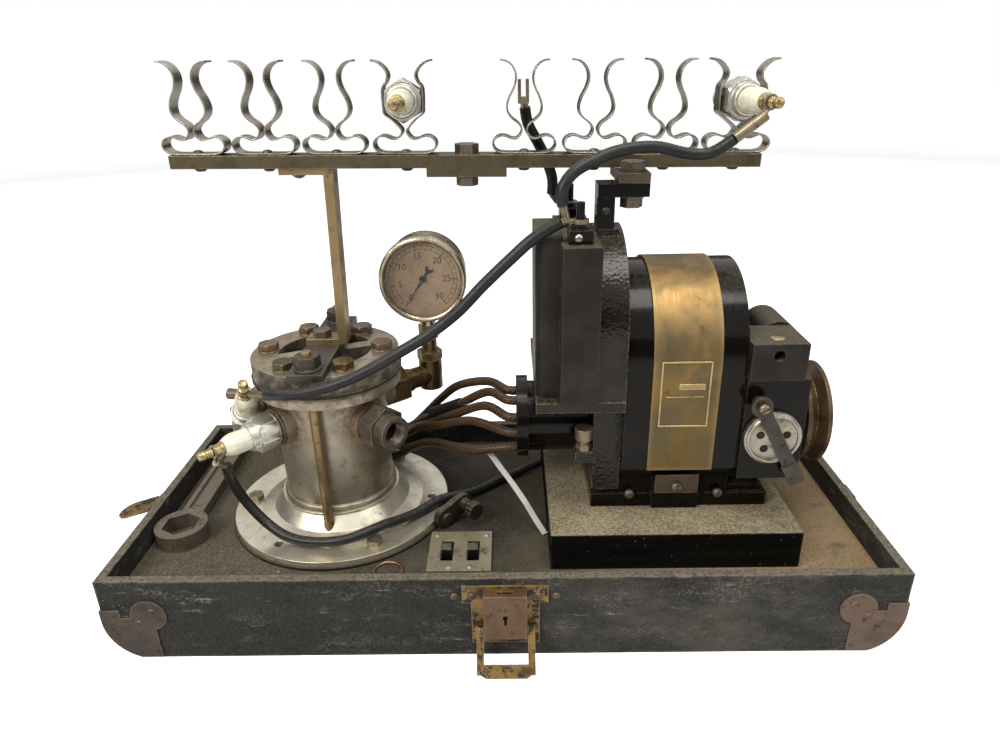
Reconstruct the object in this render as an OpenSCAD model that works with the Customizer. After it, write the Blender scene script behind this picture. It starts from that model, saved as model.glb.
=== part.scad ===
// Spark plug tester: a carrying tray with a pressure chamber, a hand-driven magneto,
// a rack of spring clips and the leads between them.
// Millimetres, +Z up, origin at the middle of the tray's underside, +X along the tray.

/* [Tray] */
// Length of the tray along X
tray_w = 508; // [480:1:560]
// Depth of the tray along Y
tray_d = 211; // [200:1:240]
// Height of the tray's rim
tray_h = 61; // [56:1:80]
// Thickness of the side walls
tray_wall = 6; // [4:0.5:8]
// Thickness of the bottom panel
tray_bottom = 6; // [4:0.5:10]
// Radius of the two lower end edges
tray_corner_r = 30; // [20:1:34]
// Depth of the floor board below the rim
floor_drop = 17.3; // [12:0.1:22]
// Thickness of the floor board
floor_t = 9; // [6:0.5:12]
// Gap between the floor board and the walls
floor_gap = 0.4; // [0.2:0.1:1]
// Width of the cleats under the floor board
cleat_w = 16; // [10:1:24]
// Sheet thickness of the corner caps
cap_t = 1; // [0.8:0.1:1.6]
// Reach of a corner cap along each face
cap_reach = 33; // [26:1:40]
// Radius of a rivet head
rivet_r = 2.6; // [2:0.1:3.4]
// Height of a rivet head
rivet_h = 1.4; // [1:0.1:2]

/* [Lock and catches] */
// Middle of the lock along X
lock_x = 3; // [-20:1:20]
// Width of the lock case
lock_w = 27; // [22:0.5:32]
// Height of the lock case
lock_h = 33; // [28:0.5:35]
// Depth of the lock case
lock_depth = 8; // [7:0.5:12]
// Height of the lock case's lower edge
lock_z = 21; // [18:0.5:22]
// Thickness of the lock plate and the catch plates
plate_t = 1.2; // [0.8:0.1:2]
// Width of a hasp arm
hasp_arm = 4.5; // [3.5:0.1:6]
// Length of the hasp from its pin
hasp_len = 29; // [26:0.5:29]
// Lean of the hasp away from the tray, in degrees
hasp_lean = 34; // [34:1:45]
// Radius of the hasp pin
hasp_pin_r = 1.5; // [1.2:0.1:2]
// Length of a side catch lever
catch_len = 34; // [26:1:40]
// Width of a side catch lever
catch_w = 20; // [16:1:26]
// Radius of a side catch pin
catch_pin_r = 1.3; // [1:0.1:1.6]
// Droop of the left catch lever, in degrees
catch_droop = 17; // [5:1:30]

/* [Chamber] */
// Chamber axis along X
chamber_x = -120.5; // [-124:0.5:-112]
// Chamber axis along Y
chamber_y = 5; // [0:0.5:8]
// Thickness of the ring under the base flange
base_ring_t = 2; // [1.5:0.1:3]
// Radius of the base flange
flange_r = 79; // [76:0.5:84]
// Thickness of the base flange at its rim
flange_rim_t = 4; // [3:0.1:5]
// Height of the base flange at its hub
flange_h = 18.3; // [16:0.1:24]
// Radius of the base flange's screw circle
flange_circle_r = 67; // [65:0.5:70]
// Radius of the base flange's screw holes
flange_hole_r = 3.2; // [2.6:0.1:3.6]
// Outside radius of the chamber barrel
barrel_r = 39; // [37:0.5:40]
// Wall thickness of the barrel
barrel_wall = 6; // [4:0.5:7]
// Height of the barrel
barrel_h = 92; // [90:0.5:100]
// Radius of the barrel head and the cover
head_r = 50.5; // [50.3:0.1:56]
// Thickness of the barrel head
head_t = 8; // [5:0.5:10]
// Thickness of the cover gasket
gasket_t = 2.5; // [1.5:0.1:3]
// Height of the cover
cover_h = 12.5; // [11:0.5:18]
// Thickness of the sight glass
glass_t = 6; // [4:0.5:8]
// Radius of the circle of cover bolts
bolt_circle_r = 39.5; // [38.5:0.1:41]
// Radius of the circle of tie rods
rod_circle_r = 45.8; // [45.4:0.1:46]
// Radius of a cover bolt
bolt_r = 3.5; // [3:0.1:4]
// Width across flats of a cover bolt
bolt_af = 13; // [10:0.5:13]
// Height of a cover bolt's head
bolt_head_h = 6; // [5:0.1:8]
// Radius of a tie rod
rod_r = 3.5; // [3:0.1:4]
// Width of the clamp bar
bar_w = 23; // [18:0.5:24]
// Thickness of the clamp bar
bar_t = 5; // [4:0.5:8]
// Height of the side ports above the barrel's foot
port_h = 64; // [62:0.5:66]
// Radius of a port boss
boss_r = 13.5; // [12.5:0.5:15]
// Distance of a port boss's face from the chamber axis
boss_reach = 45; // [44:0.5:48]
// Radius of the pipe thread in the ports
pipe_r = 10.5; // [10:0.1:11]
// Angle of the test port
test_port_a = -41; // [-45:1:-38]
// Width across flats of the test port bushing
bushing_af = 27; // [26:0.5:32]
// Length of the test port bushing outside its boss
bushing_len = 24; // [18:0.5:28]

/* [Spark plugs] */
// Width across flats of a plug's hexagon
plug_af = 22.5; // [22:0.1:23.4]
// Height of a plug's hexagon
plug_hex_h = 13; // [12:0.5:14]
// Radius of a plug's thread
plug_thread_r = 8.2; // [7.5:0.1:8.6]
// Length of a plug's thread
plug_thread_len = 12; // [10:0.5:14]
// Radius of the insulator inside the shell
insulator_r = 6; // [5:0.1:6.4]
// Length of the insulator above the shell
insulator_len = 17; // [16:0.5:22]
// Radius of a plug's terminal stud
stud_r = 1.6; // [1.2:0.1:2]

/* [Gauge] */
// Angle of the gauge port
gauge_port_a = 40; // [36:1:44]
// Distance of the gauge from the chamber axis
gauge_reach = 86; // [84:0.5:90]
// Height of the gauge's middle above the port
gauge_rise = 80; // [74:0.5:90]
// Outside radius of the gauge bezel
gauge_r = 32; // [31:0.5:34]
// Depth of the gauge case
gauge_depth = 28; // [26:0.5:36]
// Wall thickness of the gauge case
gauge_wall = 1.5; // [1:0.1:2]
// Radius of the pointer's arbor
arbor_r = 1.2; // [1:0.1:1.6]
// Angle of the pointer at zero, clockwise from the top
pointer_zero_a = 214; // [205:1:225]

/* [Rack] */
// Left end of the rack bar
rack_x = -202; // [-206:1:-200]
// Length of the rack bar
rack_len = 367; // [330:1:372]
// Middle of the rack bar along Y
rack_y = 8; // [6:0.5:10]
// Width of the rack bar
rack_w = 16; // [13:0.5:18]
// Thickness of the rack bar
rack_t = 8; // [6:0.5:10]
// Clear height between the clamp bar and the rack bar
upright_h = 115; // [112:0.5:120]
// Thickness of the upright strip
upright_t = 6; // [4:0.5:8]
// Width of the upright strip
upright_w = 14; // [10:0.5:14]
// Spacing of the two clips beside the splice
splice_room = 73.8; // [70:0.2:78]
// Gap from a clip's foot to halfway to the next clip
foot_gap = 2.25; // [1:0.05:4]
// Distance of the outer clips from the bar's ends
clip_inset = 17; // [15:0.5:19]
// Tilt of the rack bar, left end up, in degrees
rack_tilt = 0.86; // [0:0.02:1.2]
// Sideways lean of the upright at its top
upright_shift = 3; // [0:0.5:5]
// Width of the clip strip
clip_w = 12; // [10:0.5:12]
// Thickness of the clip strip
clip_t = 1; // [0.8:0.1:1]

/* [Magneto] */
// Left end of the wooden block
block_x = 33; // [31:0.5:36]
// Length of the wooden block
block_len = 163; // [160:0.5:168]
// Depth of the wooden block
block_d = 150; // [140:1:160]
// Height of the wooden block
block_h = 27; // [24:0.5:30]
// Left face of the magnets
mag_x = 80; // [79:0.5:82]
// Width of one magnet
magnet_w = 37; // [35:0.5:38]
// Half the span of the magnets
magnet_half = 55; // [54:0.5:57]
// Thickness of the magnet bars
magnet_t = 13; // [11:0.5:13]
// Height of the magnets' feet above the block
magnet_foot = 36.3; // [35:0.1:40]
// Height of the magnets' crown above the block
magnet_crown = 162; // [158:0.5:168]
// Width of the brass band
band_w = 42; // [36:0.5:50]
// Thickness of the brass band
band_t = 1.5; // [1:0.1:2]
// Height of the drive shaft above the block
shaft_h = 50.3; // [50:0.1:53]
// Radius of the drive shaft
shaft_r = 8; // [7:0.1:9]
// Radius of the armature
armature_r = 26.5; // [25:0.1:27]
// Thickness of the mounting foot
foot_t = 15; // [12:0.5:16]
// Half the depth of the mounting foot
foot_half = 43; // [42:0.5:46]
// Width of the distributor housing
dist_w = 18; // [18:0.5:20]
// Radius of the distributor housing's crown
dist_r = 57; // [55:0.5:58]
// Width of the distributor blocks
dist_block_w = 23; // [22:0.5:24]
// Height of the distributor blocks
dist_block_h = 99; // [96:0.5:100]
// Half the depth of the distributor blocks
dist_block_half = 62; // [60:0.5:64]
// Width of the distributor end cover
end_cover_w = 15; // [13:0.5:17]
// Teeth of the shaft pinion
pinion_teeth = 12; // [12:4:12]
// Teeth of the distributor gear
gear_teeth = 48; // [48:4:48]
// Gear module
gear_module = 1.5; // [1.4:0.1:1.5]
// Radius of the lead collar
collar_r = 29; // [27:0.5:30]
// Width of the breaker housing
breaker_w = 39; // [38:0.5:42]
// Half the depth of the breaker housing
breaker_half = 58; // [57:0.5:60]
// Radius of the breaker cap
breaker_cap_r = 18; // [16:0.5:18.5]
// Radius of the breaker lever's pin
lever_pin_r = 3; // [2.5:0.1:3.5]
// Length of the breaker lever
lever_len = 60; // [56:0.5:62]
// Angle of the breaker lever from straight down, in degrees
lever_lean = 28; // [26:1:30]
// Outside radius of the drive pulley
pulley_r = 35.5; // [33:0.5:38]
// Width of the drive pulley
pulley_w = 16; // [12:0.5:18]
// Gap between the breaker housing and the pulley
pulley_gap = 13; // [10:0.5:15]

/* [Switches and terminal] */
// Middle of the switch plate along X
switch_x = -28; // [-30:0.5:-24]
// Middle of the switch plate along Y
switch_y = -56.5; // [-58:0.5:-54]
// Side of the switch plate
switch_side = 43; // [40:0.5:44]
// Thickness of the switch plate
switch_t = 1.6; // [1.2:0.1:2]
// Spacing of the two switch levers
switch_pitch = 18; // [17:0.5:19]
// Width of a switch lever
tumbler_w = 7; // [6:0.1:7.4]
// Radius of a switch lever's pin
tumbler_pin_r = 1.5; // [1.2:0.1:1.8]
// Throw of a switch lever to each side, in degrees
tumbler_a = 25; // [18:1:28]
// Radius of the binding post's stud
post_r = 2; // [1.5:0.1:2.5]

/* [Wrench] */
// Distance of the wrench ring's middle from the left wall
wrench_in = 20; // [19:0.5:24]
// Gap between the wrench's far end and the back wall
wrench_end_gap = 7.5; // [2:0.5:12]
// Radius of the wrench's far end
wrench_end_r = 8; // [6:0.5:9]
// Outside radius of the wrench ring
wrench_r = 18; // [16.5:0.5:18.5]
// Width across flats of the wrench's hole
wrench_af = 22.8; // [22:0.1:24]
// Thickness of the wrench
wrench_t = 12; // [10:0.5:14]
// Length of the wrench handle
wrench_len = 120; // [100:1:140]

/* [Leads and fits] */
// Diameter of the black leads
lead_d = 7; // [6:0.5:7]
// Diameter of the brown leads
brown_d = 6.4; // [5:0.2:6.4]
// Running clearance of pins in bores
run_gap = 0.05; // [0.02:0.01:0.1]
// Side clearance of moving pieces
side_gap = 0.4; // [0.3:0.05:0.6]

/* [Hidden] */
$fn = 48;

floor_z = tray_h - floor_drop;
inner_x = tray_w / 2 - tray_wall;
inner_y = tray_d / 2 - tray_wall;
front_y = -tray_d / 2;

module round_bottom(half, low, r, top) {
  translate([-half, low + r]) square([2 * half, top - low - r]);
  translate([-half + r, low]) square([2 * (half - r), r + 1]);
  for (s = [-1, 1]) translate([s * (half - r), low + r]) circle(r);
}
module along_y(len) { rotate([90, 0, 0]) linear_extrude(len, center = true) children(); }
module along_x(from, to) {
  translate([from, 0, 0]) rotate([90, 0, 90]) linear_extrude(to - from) children();
}
module rod_x(from, to, y, z, r) { translate([from, y, z]) rotate([0, 90, 0]) cylinder(h = to - from, r = r); }
module rod_y(from, to, x, z, r) { translate([x, from, z]) rotate([-90, 0, 0]) cylinder(h = to - from, r = r); }
module span(low, high) { translate(low) cube(high - low); }
module hex(af, h) { cylinder(h = h, r = af / 2 / cos(30), $fn = 6); }
module dome(r, h) {
  big = (r * r + h * h) / (2 * h);
  rotate_extrude() intersection() {
    translate([0, h - big]) circle(big);
    square([r, h]);
  }
}
module sides() { for (s = [0, 1]) mirror([s, 0, 0]) children(); }
module ends() { for (s = [0, 1]) mirror([0, s, 0]) children(); }

// Tray
module tray_shell() {
  color("#26241f") difference() {
    along_y(tray_d) round_bottom(tray_w / 2, 0, tray_corner_r, tray_h);
    along_y(2 * inner_y) round_bottom(inner_x, tray_bottom, tray_corner_r - tray_wall, tray_h + 1);
  }
}

cleat_x = tray_w / 2 - tray_corner_r - cleat_w;
switch_cut = [switch_pitch + tumbler_w + 10, 26];
module floor_board() {
  low = floor_z - floor_t;
  color("#4a4338") {
    difference() {
      span([-inner_x + floor_gap, -inner_y + floor_gap, low],
           [inner_x - floor_gap, inner_y - floor_gap, floor_z]);
      translate([switch_x - switch_cut[0] / 2, switch_y - switch_cut[1] / 2, low - 1])
        cube([switch_cut[0], switch_cut[1], floor_t + 2]);
    }
    for (x = [-cleat_x, 0, cleat_x])
      span([x - cleat_w / 2, -inner_y + floor_gap, tray_bottom],
           [x + cleat_w / 2, inner_y - floor_gap, low]);
  }
}

// Corner caps: a lobed plate on the long face, wrapped round the end
cap_foot = 1;
lobe_r = 11.5;
lobe = [cap_reach - 3, 35];
cap_rivets = [lobe + [3, 3], lobe + [-7, -6]];
module cap_shape() {
  translate([-2, cap_foot]) square([cap_reach + 2, 24 - cap_foot]);
  translate([-2, cap_foot]) square([14, 39 - cap_foot]);
  translate([8, cap_foot]) square([cap_reach - 11, 33 - cap_foot]);
  translate(lobe) circle(lobe_r);
}
module corner_cap() {
  translate([0, front_y - cap_t / 2, 0]) along_y(cap_t) intersection() {
    round_bottom(tray_w / 2 + cap_t, -cap_t, tray_corner_r + cap_t, tray_h);
    translate([-tray_w / 2, 0]) cap_shape();
  }
  intersection() {
    translate([0, front_y + cap_reach, 0]) along_y(2 * (cap_reach + cap_t)) difference() {
      round_bottom(tray_w / 2 + cap_t, -cap_t, tray_corner_r + cap_t, tray_h);
      round_bottom(tray_w / 2, 0, tray_corner_r, tray_h + 1);
    }
    along_x(-tray_w / 2 - 2 * cap_t, -tray_w / 2 + tray_corner_r / 2) translate([front_y, 0]) cap_shape();
  }
}
module corner_caps() { color("#5b3f2e") sides() ends() corner_cap(); }

lock_front = front_y - plate_t;
lock_mid = lock_x;
lock_top = lock_z + lock_h;
lock_ears = [lock_w + 27, 13];
module rivet_front(x, z, y) { translate([x, y, z]) rotate([90, 0, 0]) dome(rivet_r, rivet_h); }
module case_rivets() {
  color("#6b5a3c") {
    sides() ends() for (p = cap_rivets) {
      rivet_front(-tray_w / 2 + p[0], p[1], front_y - cap_t);
      translate([-tray_w / 2 - cap_t, front_y + p[0], p[1]]) rotate([0, -90, 0]) dome(rivet_r, rivet_h);
    }
    for (s = [-1, 1]) {
      rivet_front(lock_mid + s * (lock_ears[0] / 2 - 6), lock_top - 6, lock_front);
      rivet_front(lock_mid + s * (lock_ears[0] / 2 + 5), lock_top - 7, front_y);
    }
    sides() for (s = [-1, 1])
      translate([-tray_w / 2 - plate_t, catch_y + s * (catch_w / 2 + 3), catch_z - 16])
        rotate([0, -90, 0]) dome(rivet_r, rivet_h);
  }
}

// Lock
module lock_plate() {
  color("#7d6234") translate([0, front_y - plate_t / 2, 0]) along_y(plate_t) {
    translate([lock_mid - lock_ears[0] / 2, lock_top - 11]) square(lock_ears);
    translate([lock_mid - lock_w / 2 - 8, lock_z - 10]) square([lock_w + 16, lock_h + 10]);
  }
}
hasp_y = lock_front - lock_depth / 2;
hasp_z = lock_z + 4;
hasp_half = lock_w / 2 + side_gap;
module lock_case() {
  color("#6a4a30") {
    difference() {
      span([lock_mid - lock_w / 2, lock_front - lock_depth, lock_z],
           [lock_mid + lock_w / 2, lock_front, lock_top]);
      rod_y(lock_front - lock_depth - 1, lock_front - lock_depth + 5, lock_mid, lock_z + lock_h / 2, 1.9);
      span([lock_mid - 0.8, lock_front - lock_depth - 1, lock_z + lock_h / 2 - 6],
           [lock_mid + 0.8, lock_front - lock_depth + 5, lock_z + lock_h / 2]);
      span([lock_mid - 5, lock_front - lock_depth / 2 - 1.2, lock_top - 4],
           [lock_mid + 5, lock_front - lock_depth / 2 + 1.2, lock_top + 1]);
    }
    for (s = [0, 1]) translate([lock_mid, 0, 0]) mirror([s, 0, 0])
      rod_x(lock_w / 2 - 1, hasp_half + hasp_arm + 1, hasp_y, hasp_z, hasp_pin_r);
  }
}
hasp_t = 2.4;
hasp_eye = 3;
module hasp() {
  color("#8a6a3a") translate([lock_mid, hasp_y, hasp_z]) rotate([-hasp_lean, 0, 0]) {
    sides() difference() {
      union() {
        rod_x(hasp_half, hasp_half + hasp_arm, 0, 0, hasp_eye);
        span([hasp_half, -hasp_t / 2, -hasp_len + 2], [hasp_half + hasp_arm, hasp_t / 2, 0]);
      }
      rod_x(hasp_half - 1, hasp_half + hasp_arm + 1, 0, 0, hasp_pin_r + run_gap);
    }
    along_y(hasp_t) polygon([[-hasp_half - hasp_arm, -hasp_len + 8], [-hasp_half - hasp_arm, -hasp_len + 4],
      [-hasp_half + 1, -hasp_len], [hasp_half - 1, -hasp_len], [hasp_half + hasp_arm, -hasp_len + 4],
      [hasp_half + hasp_arm, -hasp_len + 8]]);
  }
}

// Side catches
catch_y = -2;
catch_z = tray_h - 9;
catch_eye = 3;
catch_x = tray_w / 2 + plate_t + catch_eye + side_gap;
ear_t = 2;
ear_y = catch_w / 4 + side_gap;
module catch_plate() {
  span([-tray_w / 2 - plate_t, catch_y - catch_w / 2 - 7, catch_z - 22],
       [-tray_w / 2, catch_y + catch_w / 2 + 7, catch_z + 6]);
  for (s = [0, 1]) translate([0, catch_y, 0]) mirror([0, s, 0]) {
    rod_y(ear_y, ear_y + ear_t, -catch_x, catch_z, catch_eye);
    span([-catch_x, ear_y, catch_z - catch_eye],
         [-tray_w / 2 - plate_t / 2, ear_y + ear_t, catch_z + catch_eye]);
  }
  rod_y(catch_y - ear_y - 1, catch_y + ear_y + 1, -catch_x, catch_z, catch_pin_r);
}
module catch_plates() { color("#70583a") sides() catch_plate(); }
catch_t = 1.6;
module catch_lever(lean) {
  translate([-catch_x, catch_y, catch_z]) rotate([0, lean, 0]) difference() {
    union() {
      rod_y(-catch_w / 4, catch_w / 4, 0, 0, catch_eye);
      span([-catch_eye - 5, -catch_w / 4, -catch_t / 2], [0, catch_w / 4, catch_t / 2]);
      span([-catch_len + catch_w / 2, -catch_w / 2, -catch_t / 2], [-catch_eye - 3, catch_w / 2, catch_t / 2]);
      translate([-catch_len + catch_w / 2, 0, -catch_t / 2]) cylinder(h = catch_t, r = catch_w / 2);
    }
    rod_y(-catch_w, catch_w, 0, 0, catch_pin_r + run_gap);
  }
}
module left_catch() { color("#5e3d2a") catch_lever(-catch_droop); }
right_hang = 84;
module right_catch() { color("#5e3d2a") mirror([1, 0, 0]) catch_lever(-right_hang); }

// Pressure chamber
seat_z = floor_z + base_ring_t;
rim_z = seat_z + flange_rim_t;
barrel_z = seat_z + flange_h;
barrel_top = barrel_z + barrel_h;
cover_z = barrel_top + gasket_t;
cover_top = cover_z + cover_h;
bar_top = cover_top + bar_t;
port_z = barrel_z + port_h;
hub_r = barrel_r + 4;
bore_r = barrel_r - barrel_wall;
rod_foot = rim_z + 1;
plug_port_a = -133;
elbow_a = 185;
elbow_h = 46;
elbow_lean = [33, 15, 0];
elbow_rise = 15;
air_a = 165;
module at_chamber(z) { translate([chamber_x, chamber_y, z]) children(); }
module ring_of(angles, r) { for (a = angles) rotate(a) translate([r, 0, 0]) children(); }
module at_port(a, z, r) { at_chamber(z) rotate(a) translate([r, 0, 0]) rotate([0, 90, 0]) children(); }
screw_angles = [60, 180, -60];
hole_angles = [0, 60, 120, 180, 240, 300];
bolt_angles = [0, 60, 120, 180, 240, 300];
rod_angles = [90, 270];

module base_flange() {
  color("#a39c8b") at_chamber(seat_z) difference() {
    rotate_extrude($fn = 96) polygon([[0, 0], [flange_r, 0], [flange_r, flange_rim_t], [hub_r + 17, flange_rim_t],
      [hub_r + 7, flange_rim_t + 3.4], [hub_r, flange_h - 2], [hub_r, flange_h], [0, flange_h]]);
    ring_of(hole_angles, flange_circle_r) translate([0, 0, -1]) cylinder(h = flange_rim_t + 2, r = flange_hole_r);
    ring_of(rod_angles, rod_circle_r) translate([0, 0, rod_foot - seat_z])
      cylinder(h = flange_h, r = rod_r + run_gap);
  }
}
module flange_screws() {
  color("#8b8475") at_chamber(rim_z) ring_of(screw_angles, flange_circle_r) {
    hex(10, 3.6);
    translate([0, 0, -flange_rim_t - base_ring_t])
      cylinder(h = flange_rim_t + base_ring_t, r = flange_hole_r - 0.2);
  }
}
module bosses(r, extra) {
  for (a = [test_port_a, gauge_port_a, plug_port_a, air_a])
    at_port(a, port_z, 0) cylinder(h = boss_reach + extra, r = r);
}
elbow_in = barrel_r + 4;
module barrel() {
  color("#9c988c") difference() {
    union() {
      at_chamber(barrel_z) cylinder(h = barrel_h, r = barrel_r);
      at_chamber(barrel_z) rotate_extrude() translate([barrel_r, 2]) circle(2);
      at_chamber(barrel_top - head_t) cylinder(h = head_t, r = head_r);
      bosses(boss_r, 0);
      at_port(elbow_a, barrel_z + elbow_h, 0) cylinder(h = elbow_in, r = 11);
    }
    at_chamber(barrel_z + barrel_wall) cylinder(h = barrel_h, r = bore_r);
    bosses(pipe_r, 1);
    at_port(elbow_a, barrel_z + elbow_h, 0) cylinder(h = elbow_in + 1, r = 6);
    head_holes(barrel_top - head_t - 1, barrel_top + 1);
  }
}

// Fittings screwed into the ports
seat_in = barrel_r + 1;
spigot = pipe_r - run_gap;
elbow_r = 12;
elbow_out = elbow_in + elbow_r + 5;
elbow_mid = [chamber_x + elbow_out * cos(elbow_a), chamber_y + elbow_out * sin(elbow_a), barrel_z + elbow_h];
elbow_axis = [cos(elbow_lean[0]) * sin(elbow_lean[1]), -sin(elbow_lean[0]), cos(elbow_lean[0]) * cos(elbow_lean[1])];
module at_elbow() { translate(elbow_mid) rotate(elbow_lean) children(); }
module port_fittings() {
  color("#6f675b") {
    at_port(test_port_a, port_z, boss_reach) difference() {
      union() {
        translate([0, 0, seat_in - boss_reach]) cylinder(h = boss_reach - seat_in + 1, r = spigot);
        cylinder(h = 4, r = boss_r - 1);
        translate([0, 0, 3.5]) hex(bushing_af, bushing_len - 12);
        translate([0, 0, bushing_len - 9]) cylinder(h = 9, r = plug_thread_r + 3.2);
      }
      translate([0, 0, seat_in - boss_reach - 1]) cylinder(h = boss_reach + bushing_len, r = plug_thread_r);
    }
    at_port(plug_port_a, port_z, boss_reach) difference() {
      union() {
        translate([0, 0, seat_in - boss_reach]) cylinder(h = boss_reach - seat_in + 1, r = spigot);
        cylinder(h = 2, r = boss_r);
      }
      translate([0, 0, seat_in - boss_reach - 1]) cylinder(h = boss_reach, r = plug_thread_r + run_gap);
    }
    difference() {
      union() {
        at_port(elbow_a, barrel_z + elbow_h, elbow_in) cylinder(h = elbow_out - elbow_in, r = 10);
        at_elbow() sphere(elbow_r + 0.6);
        at_elbow() cylinder(h = elbow_rise, r = elbow_r);
      }
      at_port(elbow_a, barrel_z + elbow_h, elbow_in - 1) cylinder(h = elbow_out - elbow_in + 1, r = 6);
      at_elbow() translate([0, 0, -5]) cylinder(h = elbow_rise + 6, r = plug_thread_r + run_gap);
    }
  }
}
module air_inlet() {
  color("#5d574c") at_port(air_a, port_z, boss_reach) {
    translate([0, 0, seat_in - boss_reach]) cylinder(h = boss_reach - seat_in, r = spigot);
    hex(24, 7);
    translate([0, 0, 7]) cylinder(h = 12, r = 7.5);
    translate([0, 0, 19]) hex(11, 6);
    difference() {
      translate([0, 0, 25]) cylinder(h = 16, r = 4.2);
      translate([0, 0, 36]) cylinder(h = 6, r = 1.6);
    }
  }
}

// Cover with its sight glass
module head_holes(low, high) {
  at_chamber(low) ring_of(bolt_angles, bolt_circle_r) cylinder(h = high - low, r = bolt_r + 0.1);
  at_chamber(low) ring_of(rod_angles, rod_circle_r) cylinder(h = high - low, r = rod_r + 0.3);
}
glass_r = bore_r + 1;
module gaskets() {
  color("#15140f") {
    at_chamber(floor_z) difference() {
      cylinder(h = base_ring_t, r = flange_r + 1.5);
      translate([0, 0, -1]) cylinder(h = base_ring_t + 2, r = bore_r);
      ring_of(hole_angles, flange_circle_r) translate([0, 0, -1]) cylinder(h = base_ring_t + 2, r = flange_hole_r);
    }
    difference() {
      at_chamber(barrel_top) cylinder(h = gasket_t, r = head_r);
      at_chamber(barrel_top - 1) cylinder(h = gasket_t + 2, r = bore_r - 3);
      head_holes(barrel_top - 1, cover_z + 1);
    }
  }
}
module glass_panes() {
  color("#5d7068", 0.5) {
    at_chamber(cover_z) cylinder(h = glass_t, r = glass_r - 0.2);
    rod_y(glass_y, glass_y + gauge_glass_t, gauge_x, gauge_z, case_r - 1.1);
  }
}
module barrel_cover() {
  color("#8d8775") difference() {
    at_chamber(cover_z) cylinder(h = cover_h, r = head_r);
    at_chamber(cover_z - 1) cylinder(h = glass_t + 1, r = glass_r);
    at_chamber(cover_z) difference() {
      cylinder(h = cover_h + 1, r = bore_r - 1);
      translate([0, 0, -1]) cylinder(h = cover_h + 3, r = 6);
      for (a = [22, 112]) rotate(a) translate([-bore_r, -5, -1]) cube([2 * bore_r, 10, cover_h + 3]);
    }
    head_holes(cover_z - 1, cover_top + 1);
  }
}
module cover_bolts() {
  color("#6d4a33") at_chamber(0) ring_of(bolt_angles, bolt_circle_r) {
    translate([0, 0, cover_top]) rotate(17) hex(bolt_af, bolt_head_h);
    translate([0, 0, barrel_top - head_t]) cylinder(h = cover_top - barrel_top + head_t, r = bolt_r);
  }
}
bar_half = rod_circle_r + 11;
module clamp_bar() {
  color("#3f3a33") at_chamber(cover_top) difference() {
    translate([-bar_w / 2, -bar_half, 0]) cube([bar_w, 2 * bar_half, bar_t]);
    ring_of(rod_angles, rod_circle_r) translate([0, 0, -1]) cylinder(h = bar_t + 2, r = rod_r + 0.3);
  }
}
nut_af = 15;
nut_h = 8;
washer_t = 1.4;
module tie_rods() {
  color("#7a6a4c") at_chamber(0) ring_of(rod_angles, rod_circle_r) {
    translate([0, 0, rod_foot]) cylinder(h = bar_top + washer_t + nut_h + 3 - rod_foot, r = rod_r);
    translate([0, 0, bar_top]) cylinder(h = washer_t, r = 9);
    translate([0, 0, bar_top + washer_t]) hex(nut_af, nut_h);
  }
}

// Spark plugs: local +Z runs from the thread to the terminal
plug_collar = 5;
plug_seat = 2;
shell_top = plug_hex_h + plug_collar;
insulator_top = shell_top + insulator_len;
nut_top = insulator_top + 6;
module plug_shell() {
  difference() {
    union() {
      hex(plug_af, plug_hex_h);
      translate([0, 0, plug_hex_h - 0.5]) cylinder(h = plug_collar + 0.5, r = plug_af / 2 - 1.5);
      translate([0, 0, -plug_seat]) cylinder(h = plug_seat + 0.5, r = plug_af / 2);
      translate([0, 0, -plug_seat - plug_thread_len]) cylinder(h = plug_thread_len + 0.5, r = plug_thread_r);
    }
    translate([0, 0, -plug_seat - plug_thread_len - 1]) cylinder(h = 60, r = insulator_r + run_gap);
  }
}
module plug_insulator() {
  nose = -plug_seat - plug_thread_len;
  difference() {
    rotate_extrude() polygon([[0, nose], [3, nose], [insulator_r, nose + 6], [insulator_r, shell_top],
      [insulator_r + 1.6, shell_top], [insulator_r + 1.6, shell_top + 11], [insulator_r + 0.8, shell_top + 14],
      [insulator_r - 0.6, insulator_top], [0, insulator_top]]);
    translate([0, 0, nose - 1]) cylinder(h = 70, r = stud_r + run_gap);
  }
}
module plug_terminal() {
  translate([0, 0, -plug_seat - plug_thread_len - 2])
    cylinder(h = insulator_top + plug_thread_len + 13, r = stud_r);
  translate([0, 0, insulator_top]) cylinder(h = 2, r = 4.6);
  translate([0, 0, insulator_top + 2]) hex(7, 4);
  translate([0, 0, nut_top + ring_t + side_gap]) cylinder(h = 9, r = 2 * stud_r);
}
held_turn = 12;
module front_plug() { at_port(plug_port_a, port_z, boss_reach + 2 + plug_seat) rotate(20) children(); }
module elbow_plug() { at_elbow() translate([0, 0, elbow_rise + plug_seat]) children(); }
module racked_plug(i, turn) {
  on_rack() translate([clip_x(i), rack_y, clip_mid]) rotate(turn)
    translate([0, plug_hex_h / 2, 0]) rotate([90, 0, 0])
    rotate(30) children();
}
module fixed_plugs() {
  front_plug() children();
  elbow_plug() children();
  racked_plug(7, held_turn) children();
}
module plug_shells() { color("#a8a699") fixed_plugs() plug_shell(); }
module plug_insulators() { color("#d6d1bd") fixed_plugs() plug_insulator(); }
module plug_terminals() { color("#9a7a3c") fixed_plugs() plug_terminal(); }
module clip_plug() {
  color("#b0aea0") racked_plug(3, 0) {
    plug_shell();
    plug_insulator();
    plug_terminal();
  }
}

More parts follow.
